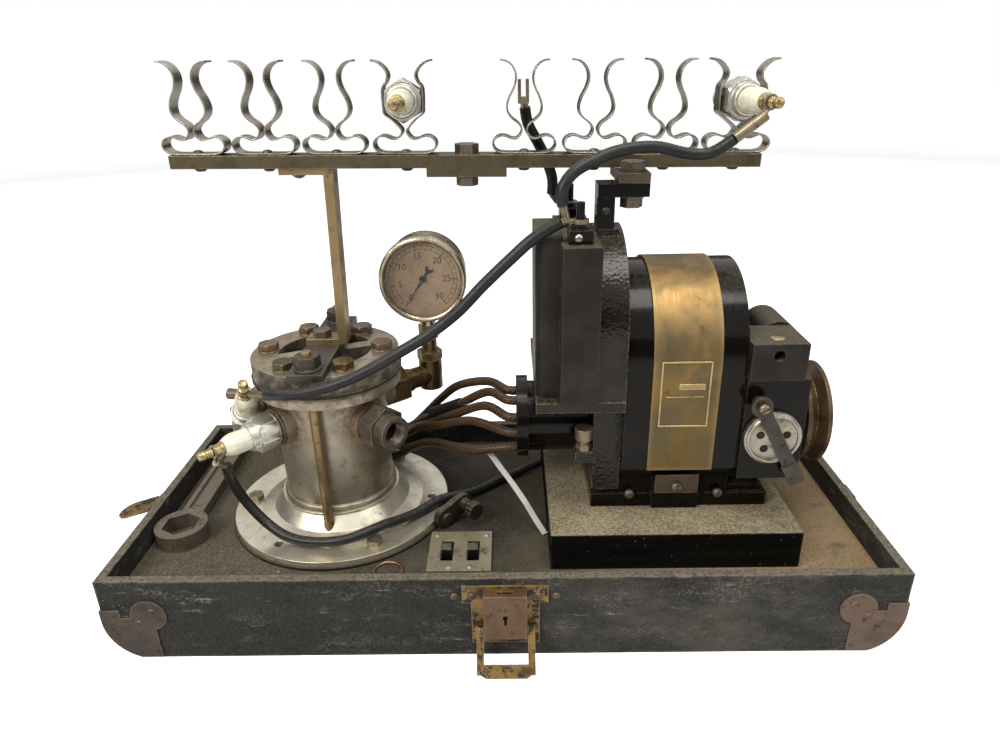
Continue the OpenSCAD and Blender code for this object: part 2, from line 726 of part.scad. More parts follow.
// Pressure gauge and the pipe that carries it
gauge_x = chamber_x + gauge_reach * cos(gauge_port_a);
gauge_y = chamber_y + gauge_reach * sin(gauge_port_a);
gauge_z = port_z + gauge_rise;
case_r = gauge_r - 2;
case_front = gauge_y - gauge_depth / 2;
stem_low = gauge_z - case_r - 9;
module gauge_piping() {
  pipe_end = gauge_reach - boss_reach;
  color("#8a6834") {
    difference() {
      at_port(gauge_port_a, port_z, boss_reach) {
        translate([0, 0, seat_in - boss_reach]) cylinder(h = boss_reach - seat_in + 1, r = spigot);
        hex(27, 14);
        translate([0, 0, 13]) cylinder(h = 8, r = 9);
        translate([0, 0, 20]) cylinder(h = pipe_end - 20, r = 8);
      }
      translate([gauge_x, gauge_y, port_z - 20]) cylinder(h = 40, r = 9);
    }
    translate([gauge_x, gauge_y, port_z - 11]) cylinder(h = 24, r = 9);
    translate([gauge_x, gauge_y, port_z + 13]) hex(17, 7);
    translate([gauge_x, gauge_y, port_z + 20]) cylinder(h = 10, r = 6);
    translate([gauge_x, gauge_y, port_z + 30]) hex(13, stem_low - port_z - 30);
  }
}
module gauge_case() {
  color("#a89a72") {
    difference() {
      rod_y(case_front, case_front + gauge_depth, gauge_x, gauge_z, case_r);
      rod_y(case_front - 1, case_front + gauge_depth - gauge_wall, gauge_x, gauge_z, case_r - gauge_wall);
    }
    difference() {
      translate([gauge_x, gauge_y, stem_low]) cylinder(h = 12, r = 6);
      rod_y(case_front - 1, case_front + gauge_depth + 1, gauge_x, gauge_z, case_r - gauge_wall);
    }
  }
}
bezel_depth = 8;
bezel_front = case_front - 4;
glass_y = bezel_front + 1.2;
gauge_glass_t = 1.6;
dial_y = case_front + 2;
dial_t = 1;
module gauge_bezel() {
  color("#b9ad86") difference() {
    rod_y(bezel_front, bezel_front + bezel_depth, gauge_x, gauge_z, gauge_r);
    rod_y(bezel_front - 1, bezel_front + bezel_depth + 1, gauge_x, gauge_z, case_r - 2.5);
    rod_y(case_front, bezel_front + bezel_depth + 1, gauge_x, gauge_z, case_r);
    rod_y(glass_y, case_front + 1, gauge_x, gauge_z, case_r - 1);
  }
}
bush_len = 6;
module gauge_dial() {
  color("#c9b3a0") difference() {
    union() {
      rod_y(dial_y, dial_y + dial_t, gauge_x, gauge_z, case_r - gauge_wall);
      rod_y(dial_y, dial_y + dial_t + bush_len, gauge_x, gauge_z, arbor_r + 1.5);
    }
    rod_y(dial_y - 1, dial_y + dial_t + bush_len + 1, gauge_x, gauge_z, arbor_r + run_gap);
  }
}
pointer_len = gauge_r - 11;
pointer_y = dial_y - side_gap - 0.6;
module gauge_pointer() {
  color("#141414") {
    rod_y(pointer_y, dial_y + dial_t + bush_len + 1, gauge_x, gauge_z, arbor_r);
    rod_y(pointer_y - 0.4, pointer_y + 0.6, gauge_x, gauge_z, arbor_r + 1.4);
    translate([gauge_x, pointer_y + 0.3, gauge_z]) rotate([0, pointer_zero_a, 0]) along_y(0.6) {
      polygon([[-0.9, 0], [0, pointer_len], [0.9, 0]]);
      polygon([[-0.8, 0], [-0.8, -7], [0.8, -7], [0.8, 0]]);
      translate([0, -9]) difference() {
        circle(3);
        translate([0, -2]) circle(2.4);
      }
    }
  }
}
module bourdon_tube() {
  tube_r = 2.2;
  bend_r = case_r - gauge_wall - 8;
  foot = [gauge_x, gauge_y, gauge_z];
  color("#9a7d43") {
    translate(foot) rotate([90, 0, 0]) rotate([0, 0, -90])
      rotate_extrude(angle = 260) translate([bend_r, 0]) circle(tube_r);
    intersection() {
      translate([gauge_x - 3, gauge_y - 4, gauge_z - case_r]) cube([8, 8, case_r - bend_r + 1]);
      rod_y(gauge_y - 5, gauge_y + 5, gauge_x, gauge_z, case_r - gauge_wall);
    }
  }
}

// Clip rack
rack_z = bar_top + upright_h;
rack_top = rack_z + rack_t;
clip_mid = rack_top + 31;
rack_end = rack_x + rack_len;
clip_pitch = (rack_len - 2 * clip_inset + 3 - splice_room) / 6;
upright_x = chamber_x + 16.5;
foot_len = 28;
module on_rack() {
  translate([lug_x, 0, rack_z]) rotate([0, rack_tilt, 0]) translate([-lug_x, 0, -rack_z]) children();
}
strap_t = 4;
function under_rack(x, drop) = let(u = x - lug_x)
  [lug_x + u * cos(rack_tilt) - drop * sin(rack_tilt), rack_z - u * sin(rack_tilt) - drop * cos(rack_tilt)];
module upright() {
  head_x = upright_x + upright_shift;
  lean = upright_shift / upright_h;
  color("#6f6248") difference() {
    translate([0, rack_y, 0]) along_y(upright_w) polygon([
      [upright_x - foot_len, bar_top], [upright_x, bar_top], under_rack(head_x, 0),
      under_rack(head_x - foot_len - 6, 0), under_rack(head_x - foot_len - 6, strap_t),
      under_rack(head_x - upright_t - lean * strap_t, strap_t),
      [upright_x - upright_t + lean * strap_t, bar_top + strap_t], [upright_x - foot_len, bar_top + strap_t]]);
    translate([foot_bolt_x, rack_y, bar_top - 1]) cylinder(h = strap_t + 2, r = 3.2);
    on_rack() translate([top_bolt_x, rack_y, rack_z - strap_t - 1]) cylinder(h = strap_t + 2, r = 3.2);
  }
}
foot_bolt_x = upright_x - 18;
top_bolt_x = upright_x - 20;
splice_x = (clip_x(3) + clip_x(4)) / 2 + 1;
splice_len = 50;
splice_t = 5.4;
lug_t = 6;
lug_x = 84;
lug_y = -14;
lug_w = 19;
module rack_bar() {
  color("#5f5441") on_rack() {
    difference() {
      span([rack_x, rack_y - rack_w / 2, rack_z], [rack_end, rack_y + rack_w / 2, rack_top]);
      translate([splice_x, rack_y, rack_z - 1]) cylinder(h = rack_t + 2, r = 3.7);
    }
    difference() {
      span([splice_x - splice_len / 2, rack_y - rack_w / 2, rack_z - splice_t],
           [splice_x + splice_len / 2, rack_y + rack_w / 2, rack_z]);
      translate([splice_x, rack_y, rack_z - splice_t - 1]) cylinder(h = splice_t + 2, r = 3.7);
    }
    difference() {
      span([lug_x - lug_w / 2, lug_y - lug_w / 2, rack_z - lug_t],
           [lug_x + lug_w / 2, rack_y + rack_w / 2, rack_z]);
      translate([lug_x, lug_y, rack_z - lug_t - 1]) cylinder(h = lug_t + 2, r = 3.7);
    }
  }
}
leg_t = 8;
leg_top = rack_z - lug_t - 0.2;
leg_low = leg_top - leg_t;
module rack_bolts() {
  color("#77705f") {
    on_rack() {
      translate([splice_x, rack_y, rack_top]) hex(13, 6);
      translate([splice_x, rack_y, rack_z - splice_t - 6]) hex(12, 6);
      translate([splice_x, rack_y, rack_z - splice_t]) cylinder(h = rack_t + splice_t, r = 3.5);
      translate([lug_x, lug_y, rack_z]) hex(13, 6);
      translate([lug_x, lug_y, leg_low - 1]) cylinder(h = rack_z - leg_low + 1, r = 3.5);
      translate([top_bolt_x, rack_y, rack_z - strap_t - 3]) dome_down(5, 3);
      translate([top_bolt_x, rack_y, rack_z - strap_t]) cylinder(h = strap_t, r = 3);
    }
    translate([lug_x, lug_y, leg_low - 1.2]) cylinder(h = 1.2, r = 8);
    translate([lug_x, lug_y, leg_low - 7.2]) hex(12, 6);
    translate([foot_bolt_x, rack_y, bar_top + strap_t]) hex(11, 5);
    translate([foot_bolt_x, rack_y, bar_top]) cylinder(h = strap_t, r = 3);
  }
}
module dome_down(r, h) { translate([0, 0, h]) mirror([0, 0, 1]) dome(r, h); }

// Spring clips: one strip each, drawn as the right half of its centre line and mirrored
function clip_x(i) = i < 4 ? rack_x + clip_inset - 1 + i * clip_pitch
  : rack_end - clip_inset + 2 - (7 - i) * clip_pitch;
clip_gap = plug_af / 2 + 0.25 + clip_t / 2;
turned_gap = (plug_af / 2 + 0.3) / cos(held_turn) + clip_w / 2 * tan(held_turn) + clip_t / 2;
clip_foot = clip_pitch / 2 - foot_gap;
foot_shape = [[0, 0.55], [0.26, 0.55], [0.51, 0.55], [0.74, 1.1], [1, 6.3], [0.7, 11.4], [0.28, 9]];
foot_line = concat([for (p = foot_shape) [clip_foot * p[0], p[1]]], [[1.6, 14.5]]);
free_arm = [[10.8, 24.5], [4.6, 43.5], [15, 54]];
function held_arm(gap) = [[gap, 24.5], [gap, 38], [gap - 4, 45.5], [gap + 6, 54]];
function arm_line(i) = i == 3 ? held_arm(clip_gap) : i == 7 ? held_arm(turned_gap) : free_arm;
function curve(p, a, t) = let(q0 = p[max(a - 1, 0)], q1 = p[a], q2 = p[a + 1], q3 = p[min(a + 2, len(p) - 1)])
  0.5 * (2 * q1 + (q2 - q0) * t + (2 * q0 - 5 * q1 + 4 * q2 - q3) * t * t + (3 * q1 - q0 - 3 * q2 + q3) * t * t * t);
function smooth(p, n) = concat([for (a = [0 : len(p) - 2]) for (k = [0 : n - 1]) curve(p, a, k / n)],
  [p[len(p) - 1]]);
function normal(p, i) = let(d = p[min(i + 1, len(p) - 1)] - p[max(i - 1, 0)]) [-d[1], d[0]] / norm(d);
function side_line(p, off) = [for (i = [0 : len(p) - 1]) p[i] + off * normal(p, i)];
function flip(p) = [for (i = [len(p) - 1 : -1 : 0]) p[i]];
module clip_half(i) {
  line = smooth(concat(foot_line, arm_line(i)), 4);
  polygon(concat(side_line(line, clip_t / 2), flip(side_line(line, -clip_t / 2))));
}
module spring_clips() {
  color("#8a8578") on_rack() for (i = [0 : 7]) translate([clip_x(i), rack_y, rack_top]) {
    along_y(clip_w) {
      clip_half(i);
      mirror([1, 0]) clip_half(i);
    }
    translate([0, 0, clip_t]) dome(3, 1.6);
  }
}

// Magneto on its wooden block
block_top = floor_z + block_h;
shaft_z = block_top + shaft_h;
mag_end = mag_x + 2 * magnet_w;
mag_low = block_top + magnet_foot;
mag_top = block_top + magnet_crown;
arch_z = mag_top - magnet_half;
foot_top = block_top + foot_t;
pole_half = magnet_half - magnet_t - 0.2;
pole_top = shaft_z + armature_r + 6;
tunnel_r = armature_r + 0.5;
module wood_block() {
  color("#1b1813")
    span([block_x, -block_d / 2 - 1, floor_z], [block_x + block_len, block_d / 2 - 1, block_top]);
}
dist_x = mag_x - dist_w;
breaker_end = mag_end + breaker_w;
module magneto_base() {
  color("#1d1b18") {
    difference() {
      union() {
        span([dist_x, -foot_half, block_top], [breaker_end - 12, foot_half, foot_top - 5]);
        span([dist_x + 4, -foot_half + 3, block_top], [breaker_end - 16, foot_half - 3, foot_top]);
        span([mag_x, -pole_half, block_top], [mag_end, pole_half, pole_top]);
        span([mag_x + 23, -pole_half - 4, block_top], [mag_x + 54, -pole_half + 1, foot_top + 8]);
      }
      rod_x(mag_x - 1, mag_end + 1, 0, shaft_z, tunnel_r);
    }
    translate([mag_x + 38.5, -pole_half - 4, foot_top + 3]) rotate([90, 0, 0]) difference() {
      cylinder(h = 2, r = 3.5);
      translate([-4, -0.5, 1]) cube([8, 1, 2]);
    }
  }
}
module arch(half, low) {
  translate([0, arch_z]) circle(half, $fn = 96);
  translate([-half, low]) square([2 * half, arch_z - low]);
}
module magnets() {
  color("#1a1917") for (x = [mag_x, mag_x + magnet_w + 0.05]) along_x(x, x + magnet_w - 0.05) difference() {
    arch(magnet_half, mag_low);
    arch(magnet_half - magnet_t, mag_low - 1);
  }
}
band_x = mag_x + magnet_w - band_w / 2;
module brass_band() {
  color("#8d7138") along_x(band_x, band_x + band_w) difference() {
    arch(magnet_half + band_t, mag_low);
    arch(magnet_half, mag_low - 1);
  }
}

// Distributor end
gear_pitch_r = gear_module * gear_teeth / 2;
pinion_pitch_r = gear_module * pinion_teeth / 2;
gear_z = shaft_z + gear_pitch_r + pinion_pitch_r;
gear_tip_r = gear_pitch_r + 0.8 * gear_module;
bearing_r = 16;
bearing_w = 8;
shelf_z = block_top + 79.3;
shelf_t = 7;
dist_block_z = shelf_z + shelf_t;
dist_block_x = dist_x - dist_block_w;
end_cover_x = dist_block_x - end_cover_w;
dist_top = dist_block_z + dist_block_h;
crown_z = dist_top - dist_r;
gear_x = dist_x + 1.5;
gear_w = 6;
gear_shaft_r = 5;
gear_room = gear_tip_r + 2;
rotor_r = 20;
low_half = 45;
boss_top = dist_top + 1;
bracket_x = dist_x + 0.5;
bracket_w = 11;
module distributor_housing() {
  color("#1f1d19") difference() {
    union() {
      along_x(dist_x, mag_x) {
        translate([0, crown_z]) circle(dist_r, $fn = 96);
        translate([-dist_r, shelf_z]) square([2 * dist_r, crown_z - shelf_z]);
        translate([-low_half, foot_top]) square([2 * low_half, shelf_z - foot_top + 1]);
      }
      span([end_cover_x, -dist_r - 1, shelf_z], [mag_x, dist_r + 1, dist_block_z]);
      span([dist_x, lug_y - 5, crown_z + dist_r - 16], [mag_x - 3, lug_y + 8, boss_top]);
      span([dist_x - 12, -low_half - 4, block_top + 38], [dist_x + 1, -low_half + 6, block_top + 46]);
      translate([cup_x, cup_y, block_top + 45]) cylinder(h = 7.5, r = 2.2);
    }
    rod_x(dist_x - 1, gear_x + gear_w + 1, 0, gear_z, gear_room);
    rod_x(dist_block_x + 6, dist_x, 0, gear_z, rotor_r + 1);
    rod_x(dist_x - 1, gear_x + gear_w + 1, 0, shaft_z, pinion_pitch_r + 4);
    rod_x(mag_x - bearing_w, mag_x + 1, 0, shaft_z, bearing_r);
    rod_x(dist_x - 1, mag_x - 2, 0, gear_z, gear_shaft_r + run_gap);
    rod_x(dist_x - 1, mag_x + 1, 0, shaft_z, shaft_r + 1);
  }
}

rear_half = 42;
module distributor_blocks() {
  color("#2a2724") {
    difference() {
      union() {
        span([dist_block_x, -dist_block_half, dist_block_z], [dist_x, -8, dist_top]);
        span([dist_block_x, 8, dist_block_z], [dist_x, rear_half, dist_top - 2]);
      }
      rod_x(dist_block_x + 3, dist_x + 1, 0, gear_z, gear_room);
    }
    along_z_round(end_cover_x, dist_block_x, -dist_r + 7, 8, dist_block_z, dist_top + 3);
  }
}
module along_z_round(x0, x1, y0, y1, z0, z1) {
  r = 8;
  translate([0, 0, z0]) linear_extrude(z1 - z0) {
    translate([x0 + r, y0]) square([x1 - x0 - r, y1 - y0]);
    translate([x0, y0 + r]) square([x1 - x0, y1 - y0 - r]);
    translate([x0 + r, y0 + r]) circle(r);
  }
}
function tooth(i, n, m) = let(p = 360 / n, r = m * n / 2)
  [for (k = [[-0.31, -1.1], [-0.13, 0.8], [0.13, 0.8], [0.31, -1.1]])
  (r + k[1] * m) * [cos((i + k[0]) * p), sin((i + k[0]) * p)]];
module spur(n, m) { polygon([for (i = [0 : n - 1]) for (q = tooth(i, n, m)) q]); }
module distributor_gear() {
  color("#8a6a3d") {
    along_x(gear_x, gear_x + gear_w) translate([0, gear_z]) rotate(180 / gear_teeth) spur(gear_teeth, gear_module);
    rod_x(dist_block_x + 8, mag_x - 2.4, 0, gear_z, gear_shaft_r);
    rod_x(dist_block_x + 8, dist_block_x + 15, 0, gear_z, rotor_r);
    span([dist_block_x + 15, -4, gear_z], [dist_block_x + 18, 4, gear_z + rotor_r]);
  }
}
collar_x = 12;
collar_z = shaft_z - 1;
outlets = [[-2, 21], [-12, 18], [-18, 8], [-18, -4], [-16, -17]];
module lead_collar() {
  color("#1c1a17") {
    difference() {
      union() {
        rod_x(collar_x, collar_x + 8, 0, collar_z, collar_r);
        rod_x(collar_x + 7, dist_x, 0, collar_z, collar_r - 4);
      }
      for (p = outlets) rod_x(collar_x - 1, collar_x + 5, p[0], collar_z + p[1], brown_d / 2);
    }
  }
}
cup_x = dist_x - 6;
cup_y = -low_half + 1;
cup_z = block_top + 46;
module grease_cap() {
  color("#a59c80") translate([cup_x, cup_y, cup_z]) difference() {
    union() {
      translate([0, 0, side_gap]) hex(9, 4);
      translate([0, 0, 4]) cylinder(h = 5, r = 3.4);
      translate([0, 0, 8]) cylinder(h = 8, r = 6);
    }
    translate([0, 0, -1]) cylinder(h = 9, r = 2.2 + run_gap);
  }
}

// Breaker end
breaker_low = block_top + 30.5;
breaker_top = block_top + 100.3;
cap_x = mag_end + 19;
cap_z = shaft_z + 11;
lever_x = mag_end + 7.5;
lever_z = breaker_top - 14;
lever_t = 2.6;
cap_h = 5;
lever_y = -breaker_half - cap_h - 2;
module breaker_housing() {
  color("#191816") {
    difference() {
      union() {
        span([mag_end, -breaker_half, breaker_low], [breaker_end, breaker_half, breaker_top]);
        span([mag_end, -foot_half + 8, foot_top], [breaker_end - 16, foot_half - 8, breaker_low + 1]);
        rod_y(lever_y - lever_t - 3, -breaker_half + 1, lever_x, lever_z, lever_pin_r);
      }
      rod_x(mag_end - 1, mag_end + bearing_w, 0, shaft_z, bearing_r);
      rod_x(mag_end - 1, breaker_end + 1, 0, shaft_z, shaft_r + 1);
    }
  }
}
box_h = 24;
box_half = breaker_half + 2;
dome_r = 13;
dome_x = mag_end + 27;
module terminal_boxes() {
  color("#25221f") {
    difference() {
      span([mag_end, -box_half, breaker_top], [breaker_end - 5, -box_half + 34, breaker_top + box_h]);
      rod_y(-box_half - 1, -box_half + 20, cap_x - 2.5, breaker_top + 16.5, 3.4);
    }
    translate([dome_x, -box_half + 52, breaker_top]) along_y(35) {
      translate([0, dome_r]) circle(dome_r);
      translate([-dome_r, 0]) square([2 * dome_r, dome_r]);
    }
  }
}
module breaker_cap() {
  color("#b5b0a2") translate([cap_x, -breaker_half, cap_z]) rotate([90, 0, 0]) difference() {
    union() {
      cylinder(h = cap_h - 1.5, r = breaker_cap_r);
      cylinder(h = cap_h, r = breaker_cap_r - 2.5);
    }
    for (a = [45 : 90 : 315]) rotate(a) translate([7.5, 0, cap_h - 2]) cylinder(h = 3, r = 2);
  }
}
module breaker_lever() {
  color("#1c1b19") translate([lever_x, lever_y, lever_z]) rotate([0, -lever_lean, 0]) difference() {
    union() {
      rod_y(-lever_t, 0, 0, 0, lever_pin_r + 3.5);
      span([-4.2, -lever_t, -lever_len], [4.2, 0, 0]);
      span([-5.2, -lever_t - 2, -lever_len], [5.2, 0, -lever_len + 13]);
      rod_y(-1, 2 - side_gap, 0, -27.5, 3);
    }
    rod_y(-lever_t - 3, 3, 0, 0, lever_pin_r + run_gap);
  }
}
pulley_x = breaker_end + pulley_gap;
pulley_end = pulley_x + pulley_w;
pinion_x = gear_x;
module armature() {
  color("#6b6458") {
    difference() {
      union() {
        rod_x(pinion_x, pulley_end + 4, 0, shaft_z, shaft_r);
        rod_x(mag_x + 6, mag_end - 6, 0, shaft_z, armature_r);
        along_x(pinion_x, pinion_x + gear_w) translate([0, shaft_z]) spur(pinion_teeth, gear_module);
      }
      difference() {
        rod_x(pinion_x - 1, pinion_x + gear_w, 0, shaft_z, shaft_r + 4);
        along_x(pinion_x - 2, pinion_x + gear_w + 1) translate([0, shaft_z]) spur(pinion_teeth, gear_module);
      }
    }
    for (x = [mag_x - bearing_w + 0.3, mag_end + 0.3]) difference() {
      rod_x(x, x + bearing_w - 0.6, 0, shaft_z, bearing_r - run_gap);
      rod_x(x - 1, x + bearing_w, 0, shaft_z, shaft_r);
    }
  }
}
module drive_pulley() {
  color("#4a3d27") difference() {
    translate([pulley_x, 0, shaft_z]) rotate([0, 90, 0]) difference() {
      rotate_extrude($fn = 96) polygon([[shaft_r + 0.02, 0], [pulley_r, 0], [pulley_r, 2.5], [pulley_r - 5, pulley_w / 2],
        [pulley_r, pulley_w - 2.5], [pulley_r, pulley_w], [pulley_r - 6, pulley_w], [pulley_r - 8, pulley_w / 2 + 2],
        [shaft_r + 7, pulley_w / 2 + 2], [shaft_r + 6, pulley_w + 2], [shaft_r + 0.02, pulley_w + 2]]);
      ring_of([0 : 60 : 300], (pulley_r + shaft_r) / 2) translate([0, 0, -1]) cylinder(h = pulley_w + 2, r = 4);
    }
  }
}
term_x = dist_block_x + 11;
term_y = -dist_block_half + 15;
rear_term_y = rear_half - 12;
post_stud_r = 2.5;
module post_block(y, z) {
  translate([term_x, y, z]) {
    translate([-7, -7.5, 0]) cube([14, 15, 8]);
    translate([0, 0, 8]) hex(9, 3);
    translate([0, 0, 11]) cylinder(h = 12, r = post_stud_r);
  }
}
module top_terminals() {
  color("#3a342a") {
    post_block(term_y, dist_top);
    post_block(rear_term_y, dist_top - 2);
    difference() {
      union() {
        span([bracket_x, lug_y - 5, boss_top], [bracket_x + bracket_w, lug_y + 8, leg_top]);
        span([bracket_x, lug_y - 9, leg_low], [lug_x + lug_w / 2, lug_y + 8, leg_top]);
      }
      translate([lug_x, lug_y, leg_low - 1]) cylinder(h = leg_t + 2, r = 3.7);
    }
  }
}

// Switches
slot = [tumbler_w + 1.6, 22];
pin_drop = 4;
ear_out = tumbler_w / 2 + side_gap + 1.8;
module switch_plate() {
  color("#9a9075") difference() {
    union() {
      translate([switch_x, switch_y, floor_z]) translate([-switch_side / 2, -switch_side / 2, 0])
        cube([switch_side, switch_side, switch_t]);
      for (s = [-1, 1]) translate([switch_x + s * switch_pitch / 2, switch_y, floor_z])
        for (e = [0, 1]) mirror([e, 0, 0])
        translate([ear_out - 1.8, -6, -pin_drop - 4]) cube([1.8, 12, pin_drop + 4.5]);
      for (a = [[-1, 1], [1, 1], [-0.4, -1], [0.4, -1]])
        translate([switch_x + a[0] * (switch_side / 2 - 4), switch_y + a[1] * (switch_side / 2 - 4), floor_z + switch_t])
          dome(2.2, 1);
    }
    for (s = [-1, 1]) translate([switch_x + s * switch_pitch / 2, switch_y, floor_z]) {
      translate([-slot[0] / 2, -slot[1] / 2, -0.5]) cube([slot[0], slot[1], switch_t + 2]);
      rod_x(-ear_out - 1, ear_out + 1, 0, -pin_drop, tumbler_pin_r + run_gap);
    }
  }
}
module tumbler(s) {
  translate([switch_x + s * switch_pitch / 2, switch_y, floor_z - pin_drop]) rotate([tumbler_a, 0, 0]) {
    span([-tumbler_w / 2, -2.6, -3], [tumbler_w / 2, 2.6, pin_drop + 11]);
    rod_x(-ear_out, ear_out, 0, 0, tumbler_pin_r);
  }
}
module left_switch() { color("#161513") tumbler(-1); }
module right_switch() { color("#161513") tumbler(1); }

// Binding post: an oval lug on edge with a stud and its knob
post_at = [-34.5, -21];
post_turn = 40;
lug_low = 8;
stud_at = [8, 14];
post_plate = 5;
module at_post() { translate([post_at[0], post_at[1], floor_z]) rotate(post_turn) children(); }
module binding_post() {
  color("#22201d") at_post() {
    rotate([90, 0, 0]) linear_extrude(post_plate, center = true) hull() {
      translate([-8, lug_low]) circle(lug_low, $fn = 32);
      translate(stud_at) circle(7, $fn = 32);
    }
    rod_y(-post_plate / 2 - 14, -post_plate / 2 + 0.5, stud_at[0], stud_at[1], post_r);
    rod_y(-post_plate / 2 - 5, -post_plate / 2 + 0.5, stud_at[0], stud_at[1], 4.5);
    rod_y(-post_plate / 2 - 2, -post_plate / 2 + 0.5, -8, lug_low, 4);
  }
}
knob_r = 6.5;
module thumb_knob() {
  color("#1b1a18") at_post()
    translate([stud_at[0], -post_plate / 2 - 5 - side_gap, stud_at[1]]) rotate([90, 0, 0])
    difference() {
      union() {
        cylinder(h = 4, r = 4);
        translate([0, 0, 3.5]) for (k = [0 : 11]) rotate(30 * k)
          translate([knob_r - 1, 0, 0]) cylinder(h = 6, r = 1, $fn = 16);
        translate([0, 0, 3.5]) cylinder(h = 6, r = knob_r - 0.6);
      }
      translate([0, 0, -1]) cylinder(h = 10, r = post_r + run_gap);
    }
}

// Box wrench lying on the floor
wrench_x = -inner_x + wrench_in;
wrench_y = inner_y - wrench_end_gap - wrench_end_r - wrench_len;
module wrench() {
  lean = 1;
  color("#4a382b") translate([wrench_x, wrench_y, floor_z]) rotate(lean) difference() {
    union() {
      cylinder(h = wrench_t, r = wrench_r);
      translate([-wrench_end_r, 0, 0]) cube([2 * wrench_end_r, wrench_len, wrench_t - 3]);
      translate([0, wrench_len, 0]) cylinder(h = wrench_t - 3, r = wrench_end_r);
    }
    translate([0, 0, -1]) rotate(30) hex(wrench_af, wrench_t + 2);
    translate([-4.5, wrench_r + 6, wrench_t - 5]) cube([9, wrench_len - wrench_r - 10, 3]);
  }
}

// Leads: tubes swept along points chosen by hand
long_route = [[-149, -43, 159], [-140, -50, 162], [-128, -56, 165], [-112, -59, 169], [-94, -60, 175],
  [-77, -60, 183], [-58, -60, 194], [-39, -58, 205], [-22, -57, 218], [-7, -55, 233], [8, -54, 247], [23, -53, 260],
  [38, -50, 268]];
rack_route = [[40, -46, 277], [39, -46, 285], [45, -43, 294], [57, -37, 300], [74, -31, 305], [94, -28, 306],
  [112, -27, 302], [126, -28, 302], [138, -31, 310]];
floor_route = [[-180, -52, 112], [-181, -46, 97], [-176, -42, 78], [-163, -45, 62], [-147, -52, 55], [-127, -57, 54],
  [-105, -57, 56], [-85, -46, 58], [-64, -26, 54], [-47, -8, 54], [-34, 3, 51], [-20, 14, 48], [-4, 28, 48], [13, 41, 48],
  [32, 51, 52]];
fork_route = [[20, 20, 326], [22, 23, 316], [28, 26, 305], [34, 27, 293], [38, 28, 281], [38, 29, 271]];
brown_routes = [
  [[-8, 18, 139], [-30, 32, 130], [-46, 48, 112], [-64, 64, 88], [-84, 78, 64], [-104, 85, 50], [-124, 91, 48]],
  [[-8, 4, 137], [-30, 20, 120], [-50, 36, 104], [-72, 56, 84], [-94, 71, 62], [-114, 79, 54], [-134, 80, 54]],
  [[-10, 0, 128], [-32, 14, 115], [-52, 30, 100], [-74, 48, 84], [-96, 61, 64], [-116, 70, 54], [-136, 69, 54]],
  [[-20, 2, 115], [-44, 14, 106], [-62, 28, 97], [-80, 44, 80], [-96, 52, 66], [-110, 60, 57], [-124, 62, 56]],
  [[-14, -10, 98], [-30, 0, 94], [-50, 12, 92], [-66, 26, 82], [-80, 42, 66], [-90, 53, 57], [-97, 59, 56]]];
function from_collar(i) = concat([for (dx = [4, -6]) [collar_x + dx, outlets[i][0], collar_z + outlets[i][1]]],
  brown_routes[i]);
function along(p, i) = let(d = p[min(i + 1, len(p) - 1)] - p[max(i - 1, 0)]) d / norm(d);
function ring_at(p, i, r, n) =
  let(t = along(p, i), c = cross(t, [0.3, 0.5, 0.81]), u = c / norm(c), v = cross(t, u))
  [for (k = [0 : n - 1]) p[i] + r * (cos(360 * k / n) * u + sin(360 * k / n) * v)];
module tube(p, d) {
  n = 8;
  m = len(p);
  rings = [for (i = [0 : m - 1]) for (q = ring_at(p, i, d / 2, n)) q];
  walls = [for (i = [0 : m - 2]) for (k = [0 : n - 1]) let(a = i * n + k, b = i * n + (k + 1) % n)
    each [[a, a + n, b], [b, a + n, b + n]]];
  low_cap = [for (k = [1 : n - 2]) [0, k, k + 1]];
  high_cap = [for (k = [1 : n - 2]) [(m - 1) * n, (m - 1) * n + k + 1, (m - 1) * n + k]];
  polyhedron(rings, concat(walls, low_cap, high_cap), convexity = 6);
}
module rod_to(from, to, r) {
  d = to - from;
  translate(from) rotate([0, acos(d[2] / norm(d)), atan2(d[1], d[0])]) cylinder(h = norm(d), r = r);
}
crimp_r = 2.4;
ring_t = 1.2;
tongue = 8;
function last(p) = p[len(p) - 1];
module eye(r, hole, reach) {
  difference() {
    union() {
      cylinder(h = ring_t, r = r);
      translate([-reach, -2, 0]) cube([reach, 4, ring_t]);
    }
    translate([0, 0, -1]) cylinder(h = ring_t + 2, r = hole);
  }
}
function racked_tip(i, turn) = let(along = nut_top - plug_hex_h / 2, x = clip_x(i) + along * sin(turn))
  [x, rack_y - along * cos(turn), clip_mid - (x - lug_x) * tan(rack_tilt)];
